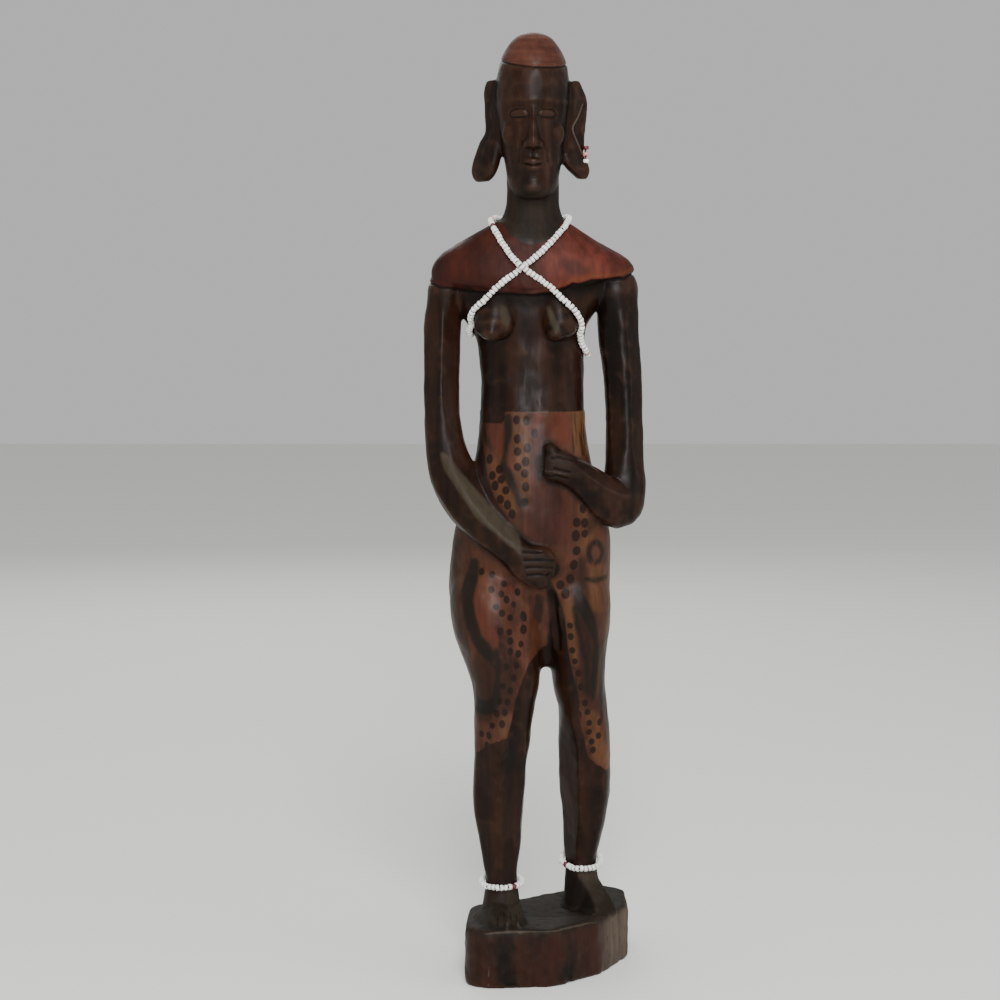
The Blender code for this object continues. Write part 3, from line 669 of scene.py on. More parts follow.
# %% The ears' hollows, the fingers and the toes
RIGHT_EAR_RIDGE = [(54, 920), (49, 906), (43, 893), (48, 879), (55, 864)]
LEFT_EAR_RIDGE = [(-47, 922), (-49, 908), (-46, 895), (-50, 884), (-56, 872), (-61, 858)]
for ridge, side in ((RIGHT_EAR_RIDGE, 1), (LEFT_EAR_RIDGE, -1)):
    line = laid(finer(ridge))
    edge_at = np.interp(height, line[::-1, 2], line[::-1, 0])
    past = side * (across - edge_at)
    on_ear = (side * across > 36) * step(height, 858, 864) * step(-height, -926, -918)
    on_ear = on_ear * step(-deep, -14, -8)
    lift -= (2.4 if side > 0 else 1.0) * on_ear * step(past, 0.0, 2.6) * step(-past, -13, -8)
    lift += (0.8 if side > 0 else 0.0) * dip(from_line(places, line)[0], 1.8)

left_fingers = [
    [(-12, 425), (4, 425), (20, 423)], [(-11, 416), (4, 416), (21, 415)],
    [(-9, 408), (4, 408), (20, 407)], [(-8, 399), (4, 400), (16, 399)],
]
right_fingers = [
    [(10, 518), (22, 517), (38, 513)], [(12, 509), (24, 509), (36, 506)],
]
on_hand = step(-deep, 46, 52)
for line in left_fingers:
    lift -= 1.5 * on_hand * dip(from_line(places, laid(line))[0], 2.3)
for line in right_fingers:
    lift -= 1.7 * on_hand * dip(from_line(places, laid(line))[0], 2.3)
lift -= 1.5 * on_hand * dip(from_line(places, laid([(18, 529), (27, 530), (42, 526)]))[0], 2.4)
toe_lines = [
    [(-41, 9), (-41, 3)], [(-34, 13), (-33, 3)], [(-27, 12), (-25, 2)], [(-20, 9), (-19, 3)],
]
for line in toe_lines:
    lift -= 1.1 * dip(from_line(places, laid(line))[0], 1.9)
print("ears, fingers and toes cut")

# %% The edges of the yoke, the wrap and the body
FRONT_YOKE_EDGE = [
    (-112, 722), (-105, 718), (-91, 716), (-77, 714), (-61, 712), (-36, 711), (-16, 709), (0, 709),
    (20, 712), (34, 716), (42, 721), (49, 720), (63, 725), (84, 726), (100, 728), (110, 734),
]


def below_yoke(places):
    """How far a point lies below the yoke's edge: the drawn line in front, the rule behind."""
    drawn = np.array(FRONT_YOKE_EDGE, float)
    front = np.interp(places[:, 0], drawn[:, 0], drawn[:, 1])
    behind = yoke_edge(places[:, 0])
    share = step(places[:, 1], -12, 12)
    return front * (1 - share) + behind * share - places[:, 2]


edge_gap = below_yoke(places)
lift -= 1.5 * dip(edge_gap - 1.6, 2.4)
lift += 0.5 * dip(edge_gap + 2.0, 3.0)

body_cuts = [
    ("front", [(17, 398), (20, 372), (23, 350), (26, 330), (27, 312)], 3.4, 7),
    ("back", [(-2, 420), (-2, 400), (2, 375), (8, 350), (14, 325), (17, 305)], 6.0, 11),
    ("back", [(-3, 700), (-3, 660), (-2, 600), (-2, 540), (-2, 480), (-2, 440)], 2.0, 12),
    ("front", [(FACE_MIDDLE - 1, 660), (FACE_MIDDLE - 1, 620), (FACE_MIDDLE, 585)], 0.8, 9),
    ("back", [(-78, 326), (-60, 318), (-40, 316), (-20, 322)], 2.0, 7),
    ("back", [(30, 322), (48, 316), (66, 317), (80, 324)], 2.0, 7),
]
for view, line, depth, half_width in body_cuts:
    lift -= depth * dip(from_line(places, laid(line, view))[0], half_width)
skirt_top = 579.0
lip = 0.8 * step(-height, -skirt_top - 0.6, -skirt_top + 0.6) * step(height, 560, skirt_top)
lift += lip * (np.abs(across) < 62) * step(across + 60 * (deep > 0), -36, -30)
print("body cuts done")

# %% The small unevenness that a knife leaves
HOLLOW_DEPTH = 3.2
FRONT_RIM_RISE = 5.0
waves = np.random.default_rng(11)


def unevenness(places, size, count=26):
    """A sum of plane waves of about one size in random directions, between about -1 and 1."""
    directions = unit(waves.normal(size=(count, 3))) * 2 * np.pi
    directions = directions / (size * waves.uniform(0.7, 1.5, (count, 1)))
    phases = waves.uniform(0, 2 * np.pi, count)
    total = np.zeros(len(places))
    for direction, phase in zip(directions, phases):
        total += np.sin(places @ direction + phase)
    return total / math.sqrt(count)


rough_share = step(-height, -2, 4)
lift += 0.30 * unevenness(places, 34) + 0.14 * unevenness(places, 14) * (1 + 1.5 * rough_share)

places = places + normals * lift[:, None]

height = places[:, 2]
on_top = step(-np.abs(height + 0.5), -4.5, -1.5) * step(normals[:, 2], 0.6, 0.9)
middle = np.exp(-((places[:, 0] - 15) / 32) ** 2 - ((places[:, 1] + 15) / 45) ** 2)
places[:, 2] -= HOLLOW_DEPTH * on_top * middle
front_rim = step(-places[:, 1], 12, 32) * step(height, -16, -4) * step(-height, -44, -8)
places[:, 2] += FRONT_RIM_RISE * front_rim
floor_level = -BLOCK_HEIGHT / SHARE
places[:, 2] = np.where(places[:, 2] < floor_level + 0.9, floor_level, places[:, 2])
set_points(skin, metres(places))
print("carved skin:", len(places), "points")

# %% [markdown]
# The fine skin has far more faces than flat places need, so a decimation that keeps the crisp cuts
# brings the wood under the limit for one piece. The painted dots need many points to stay round,
# so they are placed first, and a vertex group keeps the skin fine around each of them.

# %% Place the dots
belly_dots = [(-20, 570), (-9, 569), (0, 555), (-19, 549), (-8, 539), (-19, 535), (-19, 518),
              (-10, 524), (-11, 511), (-10, 496), (-11, 479), (-50, 526), (-47, 508), (-39, 515),
              (-44, 497), (-37, 504), (-32, 492), (-38, 482), (-30, 476), (-25, 466), (54, 471),
              (56, 443)]
thigh_dots = [(-59, 400), (-47, 397), (-34, 387), (-48, 381), (-37, 376), (-19, 377), (-31, 370),
              (-23, 364), (-43, 362), (-36, 355), (-27, 350), (-38, 335), (-28, 334), (-27, 324),
              (-15, 320), (-27, 312), (-18, 309), (-31, 295), (-20, 296), (-23, 282), (-35, 273),
              (-27, 268), (-39, 256), (-30, 255), (-42, 242), (-33, 243), (-47, 228), (-36, 230),
              (-59, 217), (-51, 216), (-53, 205)]
leg_dots = [(40, 339), (41, 326), (43, 310), (46, 297), (50, 283), (53, 267), (58, 248), (61, 237),
            (63, 224), (63, 213), (66, 201), (68, 191), (75, 224), (74, 208)]
large_dots = [(-12, 350), (-12, 336), (47, 456), (56, 455), (46, 441), (47, 424), (44, 408),
              (40, 392), (29, 385), (35, 375)]


def dotted(view, line, pitch=12.5, wander=2.0, seed=3):
    """Dots along a drawn line at a steady pitch, each moved a little, laid on the wood."""
    line = np.asarray(line, float)
    lengths = so_far(line)
    at = np.arange(pitch / 2, lengths[-1], pitch)
    chance = np.random.default_rng(seed)
    spots = np.stack([np.interp(at, lengths, line[:, axis]) for axis in (0, 1)], axis=1)
    return laid(spots + chance.uniform(-wander, wander, spots.shape), view)


dot_rows = [
    ("back", [(-48, 566), (-50, 500), (-66, 440), (-66, 380), (-50, 320), (-44, 230)]),
    ("back", [(-36, 566), (-38, 500), (-52, 440), (-54, 380), (-40, 320), (-34, 230)]),
    ("back", [(-8, 566), (-8, 520), (-12, 470), (-22, 420), (-30, 370)]),
    ("back", [(4, 566), (4, 520), (2, 470), (-8, 420)]),
    ("back", [(38, 566), (42, 500), (58, 440), (62, 380), (58, 320), (60, 215)]),
    ("back", [(50, 566), (54, 500), (70, 440), (73, 380), (69, 320), (70, 215)]),
    ("left", [(2, 566), (4, 520), (6, 470)]),
    ("left", [(16, 566), (18, 520), (20, 470), (24, 420)]),
    ("left", [(14, 350), (6, 300), (0, 250), (-6, 205)]),
    ("right", [(-2, 560), (0, 520), (4, 470), (10, 420)]),
    ("right", [(10, 560), (12, 520), (16, 470), (22, 420)]),
    ("right", [(14, 340), (16, 290), (20, 240), (22, 200)]),
    ("right", [(26, 340), (28, 290), (30, 240), (32, 200)]),
]


def inside_dots(centres, half_width, tall=1.2):
    """How far inside the nearest dot: half width minus distance, dots a little taller than wide."""
    best = np.full(len(places), -50.0)
    for centre in centres:
        close = np.flatnonzero((np.abs(places - centre) < 10).all(1))
        offset = (places[close] - centre) / (1, 1, tall * (1 + 0.10 * math.sin(centre.sum() * 7)))
        best[close] = np.maximum(best[close], half_width - np.linalg.norm(offset, axis=1))
    return best


set_points(skin, metres(places))
surface = surface_of(skin)
dot_places = [laid(belly_dots), laid(thigh_dots), laid(leg_dots)]
dot_places += [dotted(view, line, seed=number) for number, (view, line) in enumerate(dot_rows)]
dot_sizes = [4.3, 3.5, 3.5] + [3.9] * len(dot_rows)
big_dots = laid(large_dots)
print("dots:", sum(len(group) for group in dot_places) + len(big_dots))

# %% Thin out the flat places
WOOD_FACES = 192000
fine = added("fine_wood", skin)
near_dots = inside_dots(np.vstack(dot_places + [big_dots]), 7.0) > 0
away = fine.vertex_groups.new(name="away_from_dots")
away.add(np.flatnonzero(~near_dots).tolist(), 1.0, "REPLACE")
thinned = fine.modifiers.new("fewer_faces", "DECIMATE")
thinned.ratio = WOOD_FACES / sum(len(face.vertices) - 2 for face in skin.polygons)
thinned.vertex_group = "away_from_dots"
thinned.vertex_group_factor = 1.0
wood_mesh = applied(fine)
wood_mesh.name = "carved_woman"
wood = added("carved_woman", wood_mesh)
wood_mesh.shade_smooth()
surface = surface_of(wood_mesh)
print("faces of the wood:", len(wood_mesh.polygons))

# %% [markdown]
# The paint follows lines that someone drew by hand. For each kind of mark the mesh stores one
# number per point: how far inside the mark it lies, in thousandths of the figure. The shader
# turns that distance into a soft brushed edge, so the marks stay round on any mesh.

# %% Where each paint goes
places = shares(numbers(wood_mesh.vertices, "co", 3))
across, deep, height = places.T
normals = numbers(wood_mesh.vertices, "normal", 3)


def seen_from(view):
    """The points as side and height seen from one side, and how far each faces the viewer."""
    if view in ("front", "back"):
        return places[:, [0, 2]], normals[:, 1] * (-1 if view == "front" else 1)
    return places[:, [1, 2]], normals[:, 0] * (-1 if view == "left" else 1)


def inside_line(view, rows):
    """How far inside a brushed line a point lies: half width along the line minus distance."""
    dense = finer(rows)
    flat, facing = seen_from(view)
    line = np.column_stack([dense[:, 0], np.zeros(len(dense)), dense[:, 1]])
    level = np.column_stack([flat[:, 0], np.zeros(len(flat)), flat[:, 1]])
    distance, passed = from_line(level, line)
    lengths = so_far(line)
    inside = np.interp(passed, lengths / lengths[-1], dense[:, 2]) - distance
    return np.where(facing > 0.05, inside, -50.0)


def inside_shape(view, corners):
    """How far inside a drawn outline, seen from one side; outside it the number is negative."""
    corners = np.asarray(corners, float)
    flat, facing = seen_from(view)
    best = np.full(len(flat), 1e9)
    odd = np.zeros(len(flat), bool)
    for start, end in zip(corners, np.roll(corners, -1, axis=0)):
        along = end - start
        share = np.clip((flat - start) @ along / (along @ along), 0, 1)
        best = np.minimum(best, np.linalg.norm(flat - start - share[:, None] * along, axis=1))
        crosses = (start[1] > flat[:, 1]) != (end[1] > flat[:, 1])
        with np.errstate(divide="ignore", invalid="ignore"):
            at = start[0] + (flat[:, 1] - start[1]) / (end[1] - start[1]) * along[0]
        odd ^= crosses & (flat[:, 0] < at)
    signed = np.where(odd, best, -best)
    return np.where(facing > 0.05, signed, -50.0)


def drawn(marks):
    """The union of drawn marks: rows of three numbers are brushed lines, rows of two outlines."""
    return np.maximum.reduce([(inside_line if len(rows[0]) == 3 else inside_shape)(view, rows)
                              for view, lines in marks.items() for rows in lines])


off_arms = np.minimum(off_limb(places, LEFT_ARM, 0.05), off_limb(places, RIGHT_ARM, 0.05))
off_arms = np.minimum(off_arms, off_limb(places, THUMB, -1.0))
print("points on the arms:", int((off_arms < 0).sum()))

# %% The wrap round her hips and legs
INNER_LEFT = [(17, 318), (16, 316), (4, 307), (-6, 297), (-15, 274), (-21, 256), (-25, 234),
              (-30, 214), (-32, 190)]
INNER_RIGHT = [(27, 370), (31, 357), (34, 345), (36, 329), (38, 312), (41, 293), (45, 276),
               (48, 258), (50, 235), (56, 211), (62, 180), (64, 165)]
HEM_LEFT = [(-80, 192), (-66, 193), (-58, 200), (-52, 206), (-39, 211), (-30, 214)]
HEM_RIGHT = [(50, 222), (56, 208), (62, 183), (71, 173), (84, 166)]

inner_left = np.array(INNER_LEFT[::-1], float)
inner_right = np.array(INNER_RIGHT[::-1], float)
left_limit = np.interp(height, inner_left[:, 1], inner_left[:, 0])
right_limit = np.interp(height, inner_right[:, 1], inner_right[:, 0])
gap_middle = np.interp(height, [180, 290, 330], [6, 12, 18])
on_left_leg = across < gap_middle
inner = np.where(on_left_leg, left_limit - across, across - right_limit)
inner = np.where(height > np.where(on_left_leg, 316, 362), 30, inner)
hem_left = np.array(HEM_LEFT, float)
hem_right = np.array(HEM_RIGHT, float)
hem = np.where(on_left_leg, np.interp(across, hem_left[:, 0], hem_left[:, 1]),
               np.interp(across, hem_right[:, 0], hem_right[:, 1]))
hem = hem + (190 - hem) * step(normals[:, 1], 0.0, 0.5)
wrap_top = skirt_top - 13 * step(-across, 30, 36) * step(-deep, -5, 5)
wrap = np.minimum.reduce([wrap_top - height, inner, off_arms - 1.3])
above_hem = height - hem
print("points under the wrap:", int((wrap > 0).sum()))

# %% The dots
dots = np.maximum.reduce([inside_dots(group, size) for group, size in zip(dot_places, dot_sizes)])
dots = np.maximum(dots, inside_dots(big_dots, 4.8, 1.25))
print("points under dots:", int((dots > 0).sum()))

# %% The dark bands and the coloured fields
BANDS = {
    "front": [
        [(-30, 572, 4.5), (-29, 560, 4.5), (-30, 550, 4), (-32, 540, 2.5), (-33, 530, 2.5),
         (-35, 519, 4), (-31, 511, 5.5), (-27, 502, 4.8), (-23, 494, 3.8), (-19, 485, 3.6),
         (-15, 477, 5)],
        [(-55, 566, 1.5), (-56, 554, 2.2), (-52, 543, 2.0), (-46, 535, 1.0)],
        [(-62, 548, 4), (-60, 530, 5), (-56, 510, 3.5), (-51, 492, 3.5), (-43, 470, 3.5)],
        [(-67, 410, 5), (-70, 394, 7), (-75, 373, 7), (-74, 361, 6.5), (-72, 349, 7), (-68, 337, 7),
         (-63, 324, 7), (-54, 312, 7), (-47, 303, 5)],
        [(-43, 314, 2.5), (-41, 298, 3.5), (-41, 280, 3.5), (-42, 262, 4), (-44, 246, 2)],
        [(-72, 262, 3), (-64, 250, 7), (-52, 248, 8), (-42, 257, 5)],
        [(15, 390, 3), (21, 367, 7), (25, 349, 8), (26, 331, 9), (26, 312, 10), (28, 294, 10)],
        [(4, 373, 3), (5, 362, 5), (4.5, 352, 5.5), (6, 343, 3.5)],
        [(48, 378, 4), (53, 364, 7.5), (58, 354, 7), (64, 342, 5), (68, 327, 4), (70, 312, 3.5),
         (69, 290, 3.5), (67, 252, 2.5)],
        [(46, 359, 3), (47, 346, 2.5), (50, 331, 2.2), (53, 317, 2.5), (57, 302, 2.5), (60, 286, 2),
         (60, 262, 1.5)],
        [(78, 320, 1), (78, 280, 2.5), (77, 250, 2.5), (78, 226, 1)],
        # A painted shadow on the belly beside the raised hand.
        [(13, 540, 4), (9, 528, 4), (6, 514, 3), (6, 504, 2)],
        [(58, 391, 2), (70, 389, 3), (83, 391, 1.5)],
    ],
    "back": [
        [(-22, 576, 3), (-24, 530, 5), (-30, 480, 5), (-42, 430, 6), (-40, 380, 4)],
        [(22, 576, 3), (24, 530, 5), (34, 480, 5), (46, 430, 6), (48, 380, 4)],
        [(-66, 330, 3), (-60, 290, 6), (-56, 250, 6), (-50, 215, 3)],
        [(44, 330, 3), (46, 290, 6), (48, 250, 6), (50, 215, 3)],
    ],
    "left": [
        [(-14, 560, 3), (-12, 520, 5), (-14, 480, 4)],
        [(34, 440, 3), (30, 400, 6), (24, 360, 7), (12, 330, 4)],
        [(-18, 330, 4), (-20, 290, 6), (-22, 250, 5), (-22, 215, 3)],
    ],
    "right": [
        [(-14, 560, 3), (-12, 520, 4), (-10, 480, 4)],
        [(34, 440, 3), (32, 400, 6), (30, 360, 6), (36, 320, 3)],
        [(-2, 360, 3), (0, 310, 5), (4, 260, 5), (6, 215, 3)],
    ],
}
ring = inside_line("front", [(68, 426, 8), (69, 420, 10), (69, 415, 8)])
ring = np.where(ring > -50, 2.4 - np.abs(ring - 1.5), -50)
bands = np.maximum(drawn(BANDS), ring)

# Dark brown washes. The first two, down the outer side of the left hip and leg, are painted shade
# where the form turns away from the light, and the rest are darker paint. Next to the arms the
# colour is made darker as well.
WASHES_AND_SHADE = {
    "front": [
        [(-88, 430, 8), (-94, 395, 10), (-92, 350, 11), (-82, 305, 9), (-72, 262, 7)],
        [(-56, 318, 8), (-58, 290, 12), (-56, 262, 13), (-56, 240, 10)],
        [(-62, 574, 4), (-64, 545, 5), (-64, 515, 6), (-60, 488, 5)],
        [(53, 412, 4), (55, 398, 5), (54, 384, 5)],
        [(56, 345, 5), (60, 300, 7), (61, 262, 7)],
        [(60, 480, 8), (68, 465, 8), (62, 448, 5)],
    ],
    "left": [
        [(30, 560, 8), (30, 500, 10), (40, 440, 12), (44, 380, 12), (30, 320, 10)],
    ],
    "right": [
        [(28, 560, 8), (28, 500, 10), (44, 440, 12), (46, 380, 10)],
    ],
    "back": [
        [(0, 560, 8), (0, 500, 10), (2, 440, 12)],
    ],
}
washes_and_shade = np.maximum(drawn(WASHES_AND_SHADE), 4.0 - off_arms)
REDS = {
    "front": [
        [(2, 545), (0, 500), (-4, 480), (-8, 458), (-6, 430), (36, 430), (39, 459), (33, 480),
         (26, 500), (12, 520), (8, 545)],
        [(24, 572, 3), (17, 562, 6), (11, 553, 6), (5, 545, 4)],
        [(52, 350, 4), (58, 320, 7), (60, 290, 7), (62, 260, 5)],
    ],
    "back": [
        [(-8, 440, 8), (-60, 410, 10), (-62, 370, 8)],
        [(62, 410, 10), (66, 370, 8), (60, 340, 5)],
    ],
}
SALMON = {
    "front": [
        [(-47, 567), (-40, 567), (-35, 560), (-33, 547), (-33, 534), (-36, 526), (-41, 536),
         (-48, 544), (-52, 552), (-52, 561)],
        [(30, 572, 6), (34, 562, 8), (33, 550, 8), (26, 543, 4)],
        [(-66, 378, 3), (-63, 364, 4.5), (-59, 351, 6), (-53, 338, 8), (-47, 327, 7),
         (-45, 317, 4)],
        [(4, 574, 5), (0, 566, 6), (-2, 556, 5)],
    ],
}
TANS = {
    "front": [
        [(-45, 521, 4), (-40, 508, 7), (-35, 496, 8), (-30, 483, 8), (-24, 470, 7)],
        [(58, 470, 8), (62, 455, 9), (58, 440, 7), (52, 425, 4)],
        [(38, 372, 4), (41, 345, 4), (43, 320, 4), (47, 295, 4)],
        [(57, 409), (90, 405), (90, 349), (64, 355)],
        [(52, 582, 9), (53, 560, 9), (54, 540, 9)],
        [(84, 344, 6), (82, 300, 5), (80, 260, 5)],
        [(66, 232, 8), (72, 205, 9), (78, 180, 9)],
        [(-84, 392, 5), (-85, 352, 4)],
        [(-30, 236, 7), (-34, 220, 7)],
        [(-16, 575, 8), (-14, 545, 10), (-14, 515, 9), (-12, 490, 6)],
    ],
    "right": [
        [(-4, 470, 10), (0, 440, 12), (4, 400, 12)],
    ],
}
straw = inside_shape("front", [(39, 580), (64, 580), (66, 527), (42, 530)])
# Painted highlights: thin pale lines along lit edges, namely the ridge of the right ear, the raised
# wrist and fingers, and the block's front rim. The line low on the block's front is a real scratch,
# and short pale lines sit by the left toes.
HIGHLIGHT_AND_SCRATCH_LINES = {
    "front": [
        [(54, 920, 0.6), (49, 906, 0.9), (43, 893, 1.0), (48, 879, 0.9), (55, 864, 0.7)],
        [(-30, 10, 0.8), (-31, 3, 0.9)],
        [(-19, 8, 1.0), (-15, 2, 2.0)],
        [(46, 527, 0.5), (60, 521, 1.0), (72, 512, 0.5)],
        [(11, 514.5, 0.5), (24, 513, 0.8), (36, 510, 0.5)],
        [(-50.5, -36, 0.5), (-51, -48, 0.9), (-51.5, -58, 0.6)],
    ],
}
rim_highlight = inside_line("front", [(-56, 1, 0.5), (-44, 2.0, 1.0), (-24, 2.6, 1.0), (-2, 2.4, 0.6),
                                 (18, 2.2, 0.4), (40, 2.2, 0.9), (58, 1.5, 0.9), (72, 0.5, 0.4)])
on_rim = (normals[:, 2] > 0.2) & (normals[:, 2] < 0.93) & (normals[:, 1] < -0.2) & (deep < -12)
highlight_and_scratch_lines = np.maximum(drawn(HIGHLIGHT_AND_SCRATCH_LINES), np.where(on_rim, rim_highlight, -50))
# Painted light: the lit facet along the left forearm, the lit top planes of both feet and the lit
# planes of the breasts are painted lighter.
LIT_PLANES = {
    "front": [
        [(-107, 534), (-99, 534), (-60, 488), (-16, 444), (-13, 424), (-28, 430), (-66, 462),
         (-102, 514)],
        [(46, 46), (70, 50), (82, 46), (84, 30), (82, 12), (73, 8), (63, 22), (54, 34)],
        [(-33, 40), (-14, 40), (-10, 10), (-30, 8)],
        [(-40, 699), (-31, 697), (-25, 680), (-30, 668), (-38, 678)],
        [(-59, 665, 1.5), (-50, 660, 2.2), (-40, 661, 1.5)],
        [(11, 697), (17, 697), (24, 680), (29, 668), (22, 663), (17, 675)],
    ],
}
# Painted shade, with the stain that gathers there: the chest just under the yoke's edge is
# darkened. Painted shade on the inner side of the right foot. The hands get the same darker colour
# at half strength.
INNER_FOOT = [(24, 44), (44, 46), (54, 34), (63, 22), (71, 8), (60, 4), (44, 4), (28, 6)]
gap = below_yoke(places)
shade = step(gap, -1, 1) * step(-gap, -22, -8) * step(-deep, 18, 30) * (off_arms > 0)
inner_foot = step(inside_shape("front", INNER_FOOT), -1.5, 1.5) * (height < 60)
left_hand = step(-np.abs(across - 12), -30, -18) * step(-np.abs(height - 408), -34, -22)
right_hand = step(-np.abs(across - 30), -30, -18) * step(-np.abs(height - 522), -32, -20)
hands = (left_hand + right_hand) * (off_arms < 1)
shade = np.maximum.reduce([shade, 0.7 * inner_foot, 0.5 * hands])
block_top = step(-height, -8, 2) * step(normals[:, 2], 0.55, 0.9)
feet = 0.8 * step(-height, -45, -25) * step(normals[:, 2], -0.2, 0.4)
neck = step(height, 765, 775) * step(-height, -835, -815) * 0.8
dull = np.maximum.reduce([block_top, feet, neck])
# The block's right end is bare unpolished end grain, and it is also painted paler as the side that
# catches light.
bare = step(across, 70, 96) * step(-height, -4, 6) * step(normals[:, 0], 0.15, 0.75)
block_side = step(-height, 1, 6) * (1 - 0.7 * step(normals[:, 2], 0.6, 0.9))
print("points under bands:", int((bands > 0).sum()))

# %% The yoke, the cap and the wear
neck_v = np.interp(across, [-35, -30, -16, -2, 11, 24, 31], [789, 776, 766, 763, 766, 777, 790])
neck_v = np.where(deep > 0, 792, neck_v)
yoke_mark = np.minimum(-below_yoke(places), neck_v - height)

mesh_edges = numbers(wood_mesh.edges, "vertices", 2, np.int32)


def bending(points, rounds):
    """How far the skin stands out from its smoothed self along the normal: + ridge, - hollow."""
    return ((points - rubbed(points, mesh_edges, rounds)) * normals).sum(1)


ridge = bending(places, 5)
broad = bending(places, 40)
pale_yoke = step(across, -12, 38) * step(-across, -112, -95)
flap = inside_line("front", [(-8, 726, 8), (0, 720, 12), (8, 714, 12)])
smudge = inside_line("front", [(34, 742, 6), (43, 738, 9), (54, 735, 6)])
# Painted highlight: a lit orange strip along part of the yoke's lower edge.
rim = step(across, 5, 30) * step(-below_yoke(places), 0.5, 3) * step(below_yoke(places), -9, -3)
marks = {
    "cap": above_cap_line(places), "yoke": yoke_mark, "wrap": wrap, "hem": above_hem, "dot": dots,
    "band": bands, "wash": washes_and_shade, "red": drawn(REDS), "tan": drawn(TANS), "straw": straw,
    "bare": bare, "pale": pale_yoke, "flap": flap, "ridge": ridge, "broad": broad,
    "salmon": drawn(SALMON), "worn": drawn(LIT_PLANES), "dull": dull, "smudge": smudge, "rim": rim,
    "line": highlight_and_scratch_lines, "shade": shade, "block": block_side,
}
for name, values in marks.items():
    layer = wood_mesh.attributes.new(name + "_mark", "FLOAT", "POINT")
    layer.data.foreach_set("value", np.clip(values, -50, 50).astype(np.float32))
for name, bend in (("ridge", ridge), ("broad", broad)):
    print(name, "1%, middle and 99%:", np.round(np.percentile(bend, [1, 50, 99]), 3))

# %% [markdown]
# Shader maths reads best as ordinary sums, so one small class wraps a node's output and turns
# Python's operators into Math nodes.

# %% A small language for shaders
class Signal:
    """An output socket that can be added, multiplied and compared like a number."""

    def __init__(self, tree, socket):
        self.tree = tree
        self.socket = socket

    def node(self, kind, settings=None, **values):
        """Any node: its settings first, then its inputs by name, as values or other signals."""
        made = self.tree.nodes.new(kind)
        for name, value in (settings or {}).items():
            setattr(made, name, value)
        for name, value in values.items():
            key = int(name[1:]) if name[0] == "_" else name.replace("_", " ")
            if isinstance(value, Signal):
                self.tree.links.new(value.socket, made.inputs[key])
            else:
                made.inputs[key].default_value = value
        return made

    def maths(self, operation, *values):
        """One Math node over numbers or signals."""
        made = self.node("ShaderNodeMath", {"operation": operation},
                         **{"_%d" % number: value for number, value in enumerate(values)})
        return Signal(self.tree, made.outputs[0])

    def __add__(self, other):
        return self.maths("ADD", self, other)

    def __sub__(self, other):
        return self.maths("SUBTRACT", self, other)

    def __rsub__(self, other):
        return self.maths("SUBTRACT", other, self)

    def __mul__(self, other):
        return self.maths("MULTIPLY", self, other)

    def __truediv__(self, other):
        return self.maths("DIVIDE", self, other)

    def __rtruediv__(self, other):
        return self.maths("DIVIDE", other, self)

    def __pow__(self, other):
        return self.maths("POWER", self, other)

    __radd__ = __add__
    __rmul__ = __mul__

    def clamped(self):
        """Held between 0 and 1."""
        return self.maths("MINIMUM", self.maths("MAXIMUM", self, 0.0), 1.0)

    def soft(self, low, high):
        """0 below low, 1 above high, smooth between."""
        made = self.node("ShaderNodeMapRange", {"interpolation_type": "SMOOTHSTEP"},
                         Value=self, From_Min=low, From_Max=high)
        return Signal(self.tree, made.outputs[0])

    def blend(self, first, second):
        """A colour that goes from first to second as this signal goes from 0 to 1."""
        made = self.node("ShaderNodeMix", {"data_type": "RGBA"}, Factor=self)
        for slot_number, colour in ((6, first), (7, second)):
            if isinstance(colour, Signal):
                self.tree.links.new(colour.socket, made.inputs[slot_number])
            else:
                made.inputs[slot_number].default_value = (*colour, 1.0)
        return Signal(self.tree, made.outputs[2])


def new_finish(name):
    """A material, its shader and a first signal: the piece's own coordinates."""
    finish = bpy.data.materials.new(name)
    finish.use_nodes = True
    tree = finish.node_tree
    shader = tree.nodes["Principled BSDF"]
    spot = tree.nodes.new("ShaderNodeTexCoord")
    return finish, shader, Signal(tree, spot.outputs["Object"])


def mark_of(signal, name):
    """One number stored on the mesh."""
    made = signal.node("ShaderNodeAttribute", {"attribute_name": name})
    return Signal(signal.tree, made.outputs["Fac"])


def grain(spot, scale, stretch=(1.0, 1.0, 1.0), detail=3.0, roughness=0.55):
    """Noise on stretched coordinates, between 0 and 1."""
    mapped = spot.node("ShaderNodeMapping", Vector=spot, Scale=stretch)
    stretched = Signal(spot.tree, mapped.outputs[0])
    noise = spot.node("ShaderNodeTexNoise", Vector=stretched, Scale=scale, Detail=detail,
                      Roughness=roughness)
    return Signal(spot.tree, noise.outputs["Fac"])


def coated(colour, *coats):
    """Coats of colour laid one over the other, each as strong as its own signal."""
    for strength, coat in coats:
        colour = strength.blend(colour, coat)
    return colour


def feed(signal, shader, name):
    """Links a signal to one input of the shader."""
    signal.tree.links.new(signal.socket, shader.inputs[name])


print("shader tools ready")

# %% [markdown]
# The wood is stained almost black, with red-brown left on the shaved head and the yoke, and
# an orange-brown ground under the painted wrap. The colour is darker in the hollows, the stain
# is thinner on the edges that hands have rubbed, and the fibres run along the height of the figure.
# Some marks are painted light and shade: lit planes and edges made lighter, shaded places darker.

